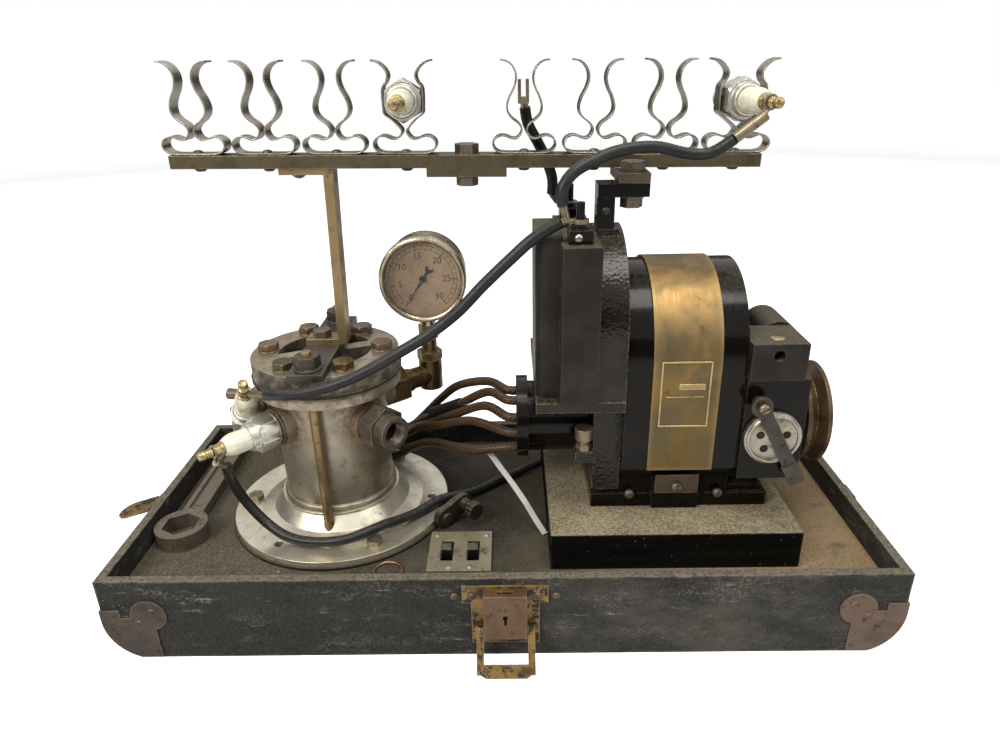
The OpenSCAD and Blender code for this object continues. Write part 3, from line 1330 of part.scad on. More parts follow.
module lead_ends() {
  elbow_tip = elbow_mid + (elbow_rise + plug_seat + nut_top + ring_t / 2) * elbow_axis;
  plug_tip = boss_reach + 2 + plug_seat + nut_top + ring_t / 2;
  front_tip = [chamber_x + plug_tip * cos(plug_port_a), chamber_y + plug_tip * sin(plug_port_a), port_z];
  post_tip = [term_x, term_y, dist_top + 11];
  rear_tip = [term_x, rear_term_y, dist_top + 9];
  rack_tip = racked_tip(7, held_turn);
  fork_at = [clip_x(4), rack_y, rack_top + 33];
  stud_hole = stud_r + 0.1;
  post_hole = post_stud_r + 0.1;
  color("#3b342b") {
    elbow_plug() translate([0, 0, nut_top]) eye(4.5, stud_hole, 0.1);
    rod_to(elbow_tip + [4.55, -1.35, -2.1], long_route[0], crimp_r);
    front_plug() translate([0, 0, nut_top]) eye(4.5, stud_hole, 0.1);
    rod_to(front_tip + [0, 0, -4], front_tip + [0, 0, -tongue], 0.6);
    rod_to(front_tip + [0, 0, -tongue], floor_route[0], crimp_r);
    racked_plug(7, held_turn) translate([0, 0, nut_top]) eye(4.5, stud_hole, 0.1);
    rod_to(rack_tip + [0, -0.6, -4], rack_tip + [-2, -0.6, -tongue], 0.6);
    rod_to(rack_tip + [-1.5, -0.6, -tongue + 1], last(rack_route), 3.2);
    translate(post_tip) eye(5, post_hole, tongue);
    rod_to(post_tip + [-tongue, 0, ring_t / 2], last(long_route), crimp_r);
    translate(post_tip + [0, 0, ring_t]) eye(5, post_hole, tongue);
    rod_to(post_tip + [-tongue, 0, ring_t * 1.5], rack_route[0], crimp_r);
    translate(rear_tip) eye(5, post_hole, tongue);
    rod_to(rear_tip + [-tongue, 0, ring_t / 2], last(fork_route), crimp_r);
    rod_to(fork_at + [0, 3, -1], fork_route[0], crimp_r);
    for (s = [-1, 1]) span(fork_at + [s * 2.4 - 1, -1, 0], fork_at + [s * 2.4 + 1, 1, 11]);
    span(fork_at + [-3.4, -1, -3], fork_at + [3.4, 3, 1]);
  }
}
module black_leads() {
  color("#1e1c1a") for (p = [long_route, rack_route, floor_route, fork_route]) tube(p, lead_d);
}
module brown_leads() {
  color("#5c3b20") for (i = [0 : len(brown_routes) - 1]) tube(from_collar(i), brown_d);
}

tray_shell();
floor_board();
corner_caps();
case_rivets();
lock_plate();
lock_case();
hasp();
catch_plates();
left_catch();
right_catch();
gaskets();
base_flange();
flange_screws();
barrel();
port_fittings();
air_inlet();
glass_panes();
barrel_cover();
cover_bolts();
clamp_bar();
tie_rods();
plug_shells();
plug_insulators();
plug_terminals();
gauge_piping();
gauge_case();
gauge_bezel();
gauge_dial();
gauge_pointer();
bourdon_tube();
upright();
rack_bar();
rack_bolts();
spring_clips();
clip_plug();
wood_block();
magneto_base();
magnets();
brass_band();
distributor_housing();
distributor_blocks();
distributor_gear();
lead_collar();
grease_cap();
breaker_housing();
terminal_boxes();
breaker_cap();
breaker_lever();
armature();
drive_pulley();
top_terminals();
switch_plate();
left_switch();
right_switch();
binding_post();
thumb_knob();
wrench();
lead_ends();
black_leads();
brown_leads();
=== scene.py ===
import math

import bmesh
import bpy
from mathutils import Matrix, Vector, noise


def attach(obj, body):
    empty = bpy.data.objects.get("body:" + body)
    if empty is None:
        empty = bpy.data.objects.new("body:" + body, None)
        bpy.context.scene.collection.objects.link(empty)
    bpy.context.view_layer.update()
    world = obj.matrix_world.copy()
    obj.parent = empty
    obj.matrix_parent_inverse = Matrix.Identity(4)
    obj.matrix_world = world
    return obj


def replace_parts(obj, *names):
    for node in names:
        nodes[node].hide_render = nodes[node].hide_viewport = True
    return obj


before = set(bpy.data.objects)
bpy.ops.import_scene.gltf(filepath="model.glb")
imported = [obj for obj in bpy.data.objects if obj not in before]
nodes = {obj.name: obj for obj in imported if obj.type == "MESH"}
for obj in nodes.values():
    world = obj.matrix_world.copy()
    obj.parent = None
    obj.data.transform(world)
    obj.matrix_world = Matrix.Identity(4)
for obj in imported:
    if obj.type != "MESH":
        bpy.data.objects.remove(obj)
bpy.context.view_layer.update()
MM = 0.001


# Camera, fitted to the photograph
CAMERA_TURN = (0.99, 23.7, -1.27)
CAMERA_AT = (0.0090, -0.4626, 0.3548)
SENSOR = 36
LENS_SHARE = 0.722


def camera():
    pan, pitch, roll = (math.radians(degrees) for degrees in CAMERA_TURN)
    right = Vector((math.cos(pan), math.sin(pan), 0))
    ahead = Vector((-math.sin(pan) * math.cos(pitch), math.cos(pan) * math.cos(pitch), -math.sin(pitch)))
    up = right.cross(ahead)
    side = math.cos(roll) * right + math.sin(roll) * up
    tall = -math.sin(roll) * right + math.cos(roll) * up
    data = bpy.data.cameras.new("camera")
    data.sensor_width = SENSOR
    data.lens = SENSOR * LENS_SHARE
    data.clip_start = 0.01
    obj = bpy.data.objects.new("camera", data)
    bpy.context.scene.collection.objects.link(obj)
    rows = Matrix((side, tall, -ahead)).transposed().to_4x4()
    obj.matrix_world = Matrix.Translation(CAMERA_AT) @ rows
    bpy.context.scene.camera = obj


camera()


# Materials
BEVEL_SAMPLES = 4
DUST_ON_METAL = (0.20, 0.165, 0.11)
DUST_ON_PAINT = (0.19, 0.155, 0.10)


# A material with short calls for its nodes
class Paint:
    def __init__(self, name):
        self.mat = bpy.data.materials.new(name)
        self.mat.use_nodes = True
        self.nodes = self.mat.node_tree.nodes
        self.links = self.mat.node_tree.links
        self.nodes.clear()
        self.out = self.nodes.new("ShaderNodeOutputMaterial")
        self.bsdf = self.nodes.new("ShaderNodeBsdfPrincipled")
        self.links.new(self.bsdf.outputs[0], self.out.inputs[0])
        self.coords = self.nodes.new("ShaderNodeTexCoord")
        self.place = self.coords.outputs["Object"]

    def fill(self, socket, value):
        if isinstance(value, bpy.types.NodeSocket):
            self.links.new(value, socket)
        elif isinstance(value, tuple) and len(value) == 3 and socket.type == "RGBA":
            socket.default_value = (*value, 1)
        else:
            socket.default_value = value

    def spot(self, stretch, shift=(0, 0, 0), source=None):
        n = self.nodes.new("ShaderNodeMapping")
        self.fill(n.inputs["Vector"], source or self.place)
        n.inputs["Scale"].default_value = stretch
        n.inputs["Location"].default_value = shift
        return n.outputs[0]

    def noise(self, scale, detail=5, rough=0.6, stretch=None, shift=(0, 0, 0), warp=0.0, source=None):
        n = self.nodes.new("ShaderNodeTexNoise")
        where = source or self.place
        if stretch or any(shift):
            where = self.spot(stretch or (1, 1, 1), shift, source=where)
        self.fill(n.inputs["Vector"], where)
        n.inputs["Scale"].default_value = scale
        n.inputs["Detail"].default_value = detail
        n.inputs["Roughness"].default_value = rough
        n.inputs["Distortion"].default_value = warp
        return n.outputs["Fac"]

    def cells(self, scale, feature="F1"):
        n = self.nodes.new("ShaderNodeTexVoronoi")
        n.feature = feature
        self.fill(n.inputs["Vector"], self.place)
        n.inputs["Scale"].default_value = scale
        return n.outputs["Distance"]

    def waves(self, scale, axis="X", warp=0.0, source=None):
        n = self.nodes.new("ShaderNodeTexWave")
        n.bands_direction = axis
        self.fill(n.inputs["Vector"], source or self.place)
        n.inputs["Scale"].default_value = scale
        n.inputs["Distortion"].default_value = warp
        n.inputs["Detail"].default_value = 3
        return n.outputs["Fac"]

    def step(self, value, low, high, start=0.0, end=1.0):
        n = self.nodes.new("ShaderNodeMapRange")
        n.clamp = True
        n.interpolation_type = "SMOOTHSTEP"
        self.fill(n.inputs["Value"], value)
        n.inputs["From Min"].default_value = low
        n.inputs["From Max"].default_value = high
        n.inputs["To Min"].default_value = start
        n.inputs["To Max"].default_value = end
        return n.outputs["Result"]

    def sum(self, op, a, b=0.0):
        n = self.nodes.new("ShaderNodeMath")
        n.operation = op
        n.use_clamp = op in ("ADD", "SUBTRACT")
        self.fill(n.inputs[0], a)
        self.fill(n.inputs[1], b)
        return n.outputs[0]

    def mix(self, share, a, b):
        n = self.nodes.new("ShaderNodeMix")
        n.data_type = "RGBA"
        self.fill(n.inputs[0], share)
        self.fill(n.inputs[6], a)
        self.fill(n.inputs[7], b)
        return n.outputs[2]

    def edges(self, width, low=0.02, high=0.2):
        bevel = self.nodes.new("ShaderNodeBevel")
        bevel.samples = BEVEL_SAMPLES
        bevel.inputs["Radius"].default_value = width
        flat = self.nodes.new("ShaderNodeNewGeometry")
        dot = self.nodes.new("ShaderNodeVectorMath")
        dot.operation = "DOT_PRODUCT"
        self.links.new(bevel.outputs[0], dot.inputs[0])
        self.links.new(flat.outputs["Normal"], dot.inputs[1])
        return self.step(self.sum("SUBTRACT", 1.0, dot.outputs["Value"]), low, high)

    def facing(self, axis="Z", low=0.5, high=0.95):
        flat = self.nodes.new("ShaderNodeNewGeometry")
        split = self.nodes.new("ShaderNodeSeparateXYZ")
        self.links.new(flat.outputs["Normal"], split.inputs[0])
        return self.step(split.outputs[axis], low, high)

    def along(self, axis, low, high):
        split = self.nodes.new("ShaderNodeSeparateXYZ")
        self.fill(split.inputs[0], self.place)
        return self.step(split.outputs[axis], low, high)

    def near(self, point, inner, outer):
        n = self.nodes.new("ShaderNodeVectorMath")
        n.operation = "DISTANCE"
        self.fill(n.inputs[0], self.place)
        n.inputs[1].default_value = point
        return self.step(n.outputs["Value"], inner, outer, 1.0, 0.0)

    def rough_up(self, height, strength, depth, onto=None):
        n = self.nodes.new("ShaderNodeBump")
        n.inputs["Strength"].default_value = strength
        n.inputs["Distance"].default_value = depth
        self.fill(n.inputs["Height"], height)
        if onto:
            self.fill(n.inputs["Normal"], onto)
        return n.outputs[0]

    def rounded(self, width):
        n = self.nodes.new("ShaderNodeBevel")
        n.samples = BEVEL_SAMPLES
        n.inputs["Radius"].default_value = width
        return n.outputs[0]

    def done(self, **sockets):
        names = {"color": "Base Color", "metal": "Metallic", "rough": "Roughness", "normal": "Normal",
                 "coat": "Coat Weight", "coat_rough": "Coat Roughness", "spec": "Specular IOR Level",
                 "alpha": "Alpha"}
        for key, value in sockets.items():
            self.fill(self.bsdf.inputs[names[key]], value)
        return self.mat


def metal(name, clean, stain, dark, metallic=0.9, rough=0.38, rub=None, stain_at=(0.45, 0.7),
          dark_at=(0.55, 0.75), scale=60, round_by=0.0005, dust=0.0, grain=900, pit=0.00012, west=None):
    p = Paint(name)
    big = p.noise(scale, 6, 0.65, warp=0.4)
    fine = p.noise(scale * 7, 6, 0.7, shift=(3, 1, 2))
    mid = p.noise(scale * 2.2, 6, 0.7, shift=(7, 5, 1))
    color = p.mix(p.step(big, *stain_at), clean, stain)
    spots = p.step(p.sum("MULTIPLY", fine, p.step(mid, 0.3, 0.75)), dark_at[0] - 0.25, dark_at[1] - 0.25)
    color = p.mix(spots, color, dark)
    # When west is given, the colour is made darker towards -X (the left), most strongly left of x -0.2 m.
    if west:
        darkening = p.sum("MULTIPLY", p.along("X", 0.15, -0.2), p.step(big, 0.3, 0.6, 0.6, 0.95))
        color = p.mix(darkening, color, west)
    if rub:
        worn = p.sum("MULTIPLY", p.edges(round_by * 2.4), p.step(mid, 0.35, 0.6))
        color = p.mix(worn, color, rub)
    if dust:
        lie = p.sum("MULTIPLY", p.facing("Z", 0.6, 0.98), p.step(fine, 0.35, 0.7, 0.25 * dust, dust))
        color = p.mix(lie, color, DUST_ON_METAL)
        shine = p.sum("SUBTRACT", metallic, p.sum("MULTIPLY", lie, 0.8))
    else:
        shine = p.sum("SUBTRACT", metallic, p.sum("MULTIPLY", spots, 0.6))
    glint = p.sum("ADD", p.step(mid, 0.2, 0.8, rough - 0.1, rough + 0.14), p.sum("MULTIPLY", spots, 0.25))
    fleck = p.noise(grain, 4, 0.7)
    normal = p.rough_up(p.sum("ADD", fleck, p.sum("MULTIPLY", fine, 0.8)), 0.35, pit, p.rounded(round_by))
    return p.done(color=color, metal=shine, rough=glint, normal=normal)


def black(name, base, lift, gloss=0.3, crackle=0.0, chips=None, dust=0.5, round_by=0.0006, scale=45,
          spec=0.16):
    p = Paint(name)
    big = p.noise(scale, 6, 0.65)
    fine = p.noise(scale * 9, 5, 0.7, shift=(2, 7, 1))
    color = p.mix(p.step(big, 0.35, 0.75), base, lift)
    if chips:
        wear = p.sum("MULTIPLY", p.edges(round_by * 2.2), p.step(fine, 0.42, 0.62))
        color = p.mix(wear, color, chips)
    lie = p.sum("MULTIPLY", p.facing("Z", 0.55, 0.98), p.step(fine, 0.3, 0.72, 0.15 * dust, dust))
    color = p.mix(lie, color, DUST_ON_PAINT)
    shine = p.sum("ADD", p.step(fine, 0.25, 0.8, gloss - 0.06, gloss + 0.1), p.sum("MULTIPLY", lie, 0.4))
    height = p.sum("ADD", p.sum("MULTIPLY", fine, 0.4), p.sum("MULTIPLY", p.noise(750, 3, 0.6), 0.4))
    normal = p.rough_up(height, 0.15, 0.0001, p.rounded(round_by))
    if crackle:
        normal = p.rough_up(p.cells(520, "SMOOTH_F1"), crackle, 0.0006, normal)
    return p.done(color=color, rough=shine, normal=normal, spec=spec)


def fibre():
    p = Paint("black_fibre")
    weave = p.noise(1500, 3, 0.7, stretch=(1, 1, 0.35))
    fine = p.noise(480, 5, 0.75)
    cloud = p.noise(14, 6, 0.7, stretch=(0.7, 0.7, 1.4))
    smear = p.noise(42, 6, 0.75, stretch=(0.5, 0.5, 1.2), shift=(2, 0, 5))
    east = p.along("X", -0.12, 0.16)
    color = p.mix(p.step(weave, 0.36, 0.68), (0.0085, 0.0085, 0.0083), (0.034, 0.0335, 0.031))
    dusty = p.sum("MULTIPLY", p.step(cloud, 0.40, 0.72), p.sum("ADD", 0.10, p.sum("MULTIPLY", east, 0.30)))
    color = p.mix(dusty, color, (0.150, 0.138, 0.110))
    rubbed = p.sum("MULTIPLY", p.step(smear, 0.50, 0.68), p.step(fine, 0.44, 0.60))
    color = p.mix(p.sum("MULTIPLY", rubbed, 0.5), color, (0.190, 0.177, 0.146))
    scratch = p.noise(260, 4, 0.7, stretch=(0.15, 0.15, 1.0))
    nick = p.sum("MULTIPLY", p.step(scratch, 0.60, 0.66), p.step(smear, 0.42, 0.6))
    color = p.mix(p.sum("MULTIPLY", nick, 0.6), color, (0.23, 0.215, 0.175))
    specks = p.sum("MULTIPLY", p.step(p.cells(260), 0.13, 0.08), p.step(p.noise(45, 3), 0.54, 0.62))
    color = p.mix(p.sum("MULTIPLY", specks, 0.7), color, (0.25, 0.225, 0.175))
    rim = p.sum("MULTIPLY", p.edges(0.003, 0.02, 0.3), p.step(p.noise(130, 5, 0.7), 0.36, 0.62))
    color = p.mix(p.sum("MULTIPLY", rim, 0.8), color, (0.25, 0.205, 0.13))
    lie = p.sum("MULTIPLY", p.facing("Z", 0.7, 0.98), p.step(fine, 0.3, 0.7, 0.15, 0.85))
    color = p.mix(lie, color, (0.215, 0.190, 0.14))
    height = p.sum("ADD", p.sum("MULTIPLY", fine, 0.5), weave)
    normal = p.rough_up(height, 0.3, 0.0002, p.rounded(0.0012))
    return p.done(color=color, rough=p.step(cloud, 0.3, 0.7, 0.55, 0.8), normal=normal, spec=0.14)


def board():
    p = Paint("dusty_board")
    grit = p.noise(600, 5, 0.8)
    cloud = p.noise(13, 5, 0.65)
    mid = p.noise(60, 6, 0.7)
    # Between the barrel flange and the wood block, from x -0.06 m to about 0.03 m, the board and its dust
    # film are painted darker: a painted shadow. The board lightens to the left of it (west) and to the
    # right (east), the film only to the right.
    east = p.along("X", -0.02, 0.2)
    west = p.along("X", -0.06, -0.16)
    base = p.mix(east, p.mix(west, (0.020, 0.0175, 0.0125), (0.048, 0.040, 0.028)), (0.135, 0.092, 0.048))
    pale = p.mix(east, p.mix(west, (0.052, 0.046, 0.033), (0.140, 0.118, 0.080)), (0.29, 0.21, 0.12))
    color = p.mix(p.step(grit, 0.38, 0.68), base, pale)
    dust_film_and_shadow = p.mix(east, (0.105, 0.094, 0.068), (0.29, 0.21, 0.12))
    color = p.mix(p.sum("MULTIPLY", p.step(cloud, 0.4, 0.7), 0.55), color, dust_film_and_shadow)
    color = p.mix(p.sum("MULTIPLY", p.step(mid, 0.55, 0.72), 0.6), color, (0.035, 0.031, 0.025))
    strewn = p.step(p.noise(30, 3, shift=(4, 2, 0)), 0.56, 0.62)
    crumbs = p.sum("MULTIPLY", p.step(p.cells(170), 0.13, 0.07), strewn)
    color = p.mix(crumbs, color, (0.42, 0.38, 0.29))
    normal = p.rough_up(p.sum("ADD", grit, mid), 0.6, 0.0003)
    return p.done(color=color, rough=0.86, normal=normal, spec=0.2)


def alloy(name="dull_alloy", clean=(0.43, 0.390, 0.310), worn=(0.300, 0.245, 0.165), rough=0.3, mottle=0.6):
    p = Paint(name)
    big = p.noise(26, 6, 0.65, warp=0.5)
    fine = p.noise(330, 6, 0.72)
    mid = p.noise(95, 6, 0.7, shift=(4, 4, 1))
    color = p.mix(p.step(big, 0.36, 0.68), clean, worn)
    color = p.mix(p.sum("MULTIPLY", p.step(mid, 0.5, 0.7), mottle), color, (0.165, 0.128, 0.082))
    pits = p.sum("MULTIPLY", p.step(fine, 0.58, 0.68), p.step(mid, 0.42, 0.62))
    ports = None
    for point in ((-0.0900, -0.0215, 0.128), (-0.1475, -0.0245, 0.128), (-0.090, 0.0305, 0.128)):
        ring = p.near(point, 0.013, 0.030)
        ports = p.sum("ADD", ports, ring) if ports else ring
    seam = p.sum("MULTIPLY", p.along("Z", 0.128, 0.150), p.step(mid, 0.38, 0.62))
    wet = p.sum("ADD", ports, p.sum("MULTIPLY", seam, 0.7))
    rust = p.sum("MULTIPLY", wet, p.step(fine, 0.34, 0.6, 0.25, 1.0))
    color = p.mix(p.sum("MULTIPLY", rust, 0.75), color, (0.165, 0.085, 0.038))
    color = p.mix(pits, color, (0.05, 0.038, 0.026))
    side = p.sum("SUBTRACT", p.along("Z", 0.152, 0.1565), p.facing("Z", 0.4, 0.8))
    darkening = p.sum("MULTIPLY", side, p.step(mid, 0.3, 0.62, 0.45, 0.95))
    color = p.mix(darkening, color, (0.036, 0.028, 0.019))
    foul = p.sum("ADD", p.sum("ADD", pits, darkening), p.sum("MULTIPLY", rust, 0.6))
    shine = p.sum("SUBTRACT", 0.82, p.sum("MULTIPLY", foul, 0.6))
    glint = p.sum("ADD", p.step(mid, 0.25, 0.75, rough, rough + 0.2), p.sum("MULTIPLY", foul, 0.2))
    normal = p.rough_up(p.sum("ADD", fine, p.sum("MULTIPLY", mid, 0.7)), 0.3, 0.0002, p.rounded(0.0008))
    return p.done(color=color, metal=shine, rough=glint, normal=normal)


def brass_sheet():
    p = Paint("aged_brass")
    brush = p.noise(700, 4, 0.7, stretch=(1.0, 0.05, 0.05))
    big = p.noise(22, 6, 0.6, warp=0.6)
    mid = p.noise(75, 6, 0.7, shift=(1, 6, 2))
    top = p.along("Z", 0.12, 0.22)
    tone = p.mix(top, (0.160, 0.106, 0.040), (0.315, 0.200, 0.074))
    color = p.mix(p.step(big, 0.36, 0.66), tone, (0.130, 0.100, 0.054))
    color = p.mix(p.sum("MULTIPLY", p.step(mid, 0.56, 0.7), 0.6), color, (0.085, 0.058, 0.024))
    side = p.edges(0.006, 0.03, 0.4)
    color = p.mix(p.sum("MULTIPLY", side, 0.55), color, (0.42, 0.29, 0.125))
    uneven = p.sum("ADD", p.sum("MULTIPLY", mid, 0.5), p.sum("MULTIPLY", brush, 0.5))
    glint = p.step(uneven, 0.3, 0.7, 0.42, 0.62)
    normal = p.rough_up(p.sum("ADD", brush, p.sum("MULTIPLY", mid, 0.5)), 0.22, 0.00012, p.rounded(0.0006))
    return p.done(color=color, metal=0.9, rough=glint, normal=normal)


def ceramic(name="white_ceramic", clean=(0.74, 0.725, 0.59), worn=(0.60, 0.57, 0.43)):
    p = Paint(name)
    haze = p.noise(190, 5, 0.6)
    soot = p.noise(60, 5, 0.7, shift=(3, 3, 3))
    color = p.mix(p.step(haze, 0.35, 0.7), clean, worn)
    color = p.mix(p.sum("MULTIPLY", p.step(soot, 0.56, 0.72), 0.6), color, (0.22, 0.17, 0.10))
    normal = p.rough_up(haze, 0.1, 0.0001, p.rounded(0.0005))
    glint = p.step(haze, 0.3, 0.7, 0.16, 0.32)
    return p.done(color=color, rough=glint, normal=normal, coat=0.4, coat_rough=0.1)


def card():
    p = Paint("dial_card")
    age = p.noise(70, 5, 0.65)
    fox = p.noise(240, 4, 0.6)
    color = p.mix(p.step(age, 0.35, 0.7), (0.36, 0.238, 0.145), (0.28, 0.18, 0.105))
    color = p.mix(p.sum("MULTIPLY", p.step(fox, 0.6, 0.72), 0.6), color, (0.22, 0.14, 0.08))
    return p.done(color=color, rough=0.6, normal=p.rough_up(fox, 0.1, 0.0001), spec=0.3)


def glass():
    p = Paint("sight_glass")
    smear = p.noise(120, 5, 0.7)
    thin = p.step(smear, 0.35, 0.8, 0.03, 0.14)
    return p.done(color=(0.50, 0.52, 0.48), rough=p.step(smear, 0.4, 0.75, 0.05, 0.2), alpha=thin)


def rubber(name, base, lift, bands=0.0):
    p = Paint(name)
    uv = p.coords.outputs["UV"]
    fine = p.noise(520, 4, 0.7)
    cloud = p.noise(40, 5, 0.65)
    color = p.mix(p.step(cloud, 0.36, 0.72), base, lift)
    lie = p.sum("MULTIPLY", p.facing("Z", 0.4, 0.95), p.step(fine, 0.35, 0.7, 0.0, 0.35))
    color = p.mix(lie, color, (0.16, 0.14, 0.11))
    height = p.noise(900, 3, 0.6)
    if bands:
        weave = p.waves(1.0, "DIAGONAL", 0.5, source=p.spot((190, 3, 1), source=uv))
        turn = p.step(p.noise(1.0, 2, 0.5, source=p.spot((75, 0.2, 1), source=uv)), 0.60, 0.68)
        color = p.mix(p.sum("MULTIPLY", turn, bands), color, (0.010, 0.006, 0.003))
        color = p.mix(p.sum("MULTIPLY", p.step(weave, 0.35, 0.8), 0.4), color, (0.105, 0.060, 0.026))
        height = p.sum("ADD", p.sum("MULTIPLY", weave, 0.8), p.sum("MULTIPLY", turn, 0.5))
    normal = p.rough_up(height, 0.4, 0.0003)
    return p.done(color=color, rough=p.step(fine, 0.3, 0.7, 0.32, 0.5), normal=normal, spec=0.25)


def wood():
    p = Paint("black_wood")
    grain = p.noise(120, 6, 0.65, stretch=(0.1, 1.4, 1.4), warp=0.3)
    grit = p.noise(520, 5, 0.75)
    cloud = p.noise(28, 5, 0.6)
    color = p.mix(p.step(grain, 0.4, 0.75), (0.0016, 0.0014, 0.0012), (0.0055, 0.0045, 0.0035))
    dirt = p.sum("ADD", p.sum("MULTIPLY", grit, 0.5), p.sum("MULTIPLY", cloud, 0.5))
    lie = p.sum("MULTIPLY", p.facing("Z", 0.7, 0.98), p.step(dirt, 0.32, 0.62, 0.45, 0.95))
    color = p.mix(lie, color, p.mix(p.step(grit, 0.36, 0.66), (0.20, 0.165, 0.105), (0.36, 0.30, 0.195)))
    worn = p.sum("MULTIPLY", p.edges(0.0022, 0.03, 0.3), p.step(grit, 0.4, 0.6))
    color = p.mix(p.sum("MULTIPLY", worn, 0.6), color, (0.16, 0.125, 0.08))
    specks = p.sum("MULTIPLY", p.step(p.cells(240), 0.15, 0.08), p.step(p.noise(40, 3), 0.5, 0.62))
    color = p.mix(p.sum("MULTIPLY", specks, 0.6), color, (0.20, 0.18, 0.14))
    normal = p.rough_up(p.sum("ADD", grain, grit), 0.35, 0.0003, p.rounded(0.0012))
    return p.done(color=color, rough=p.step(grit, 0.3, 0.7, 0.45, 0.75), normal=normal, spec=0.1)


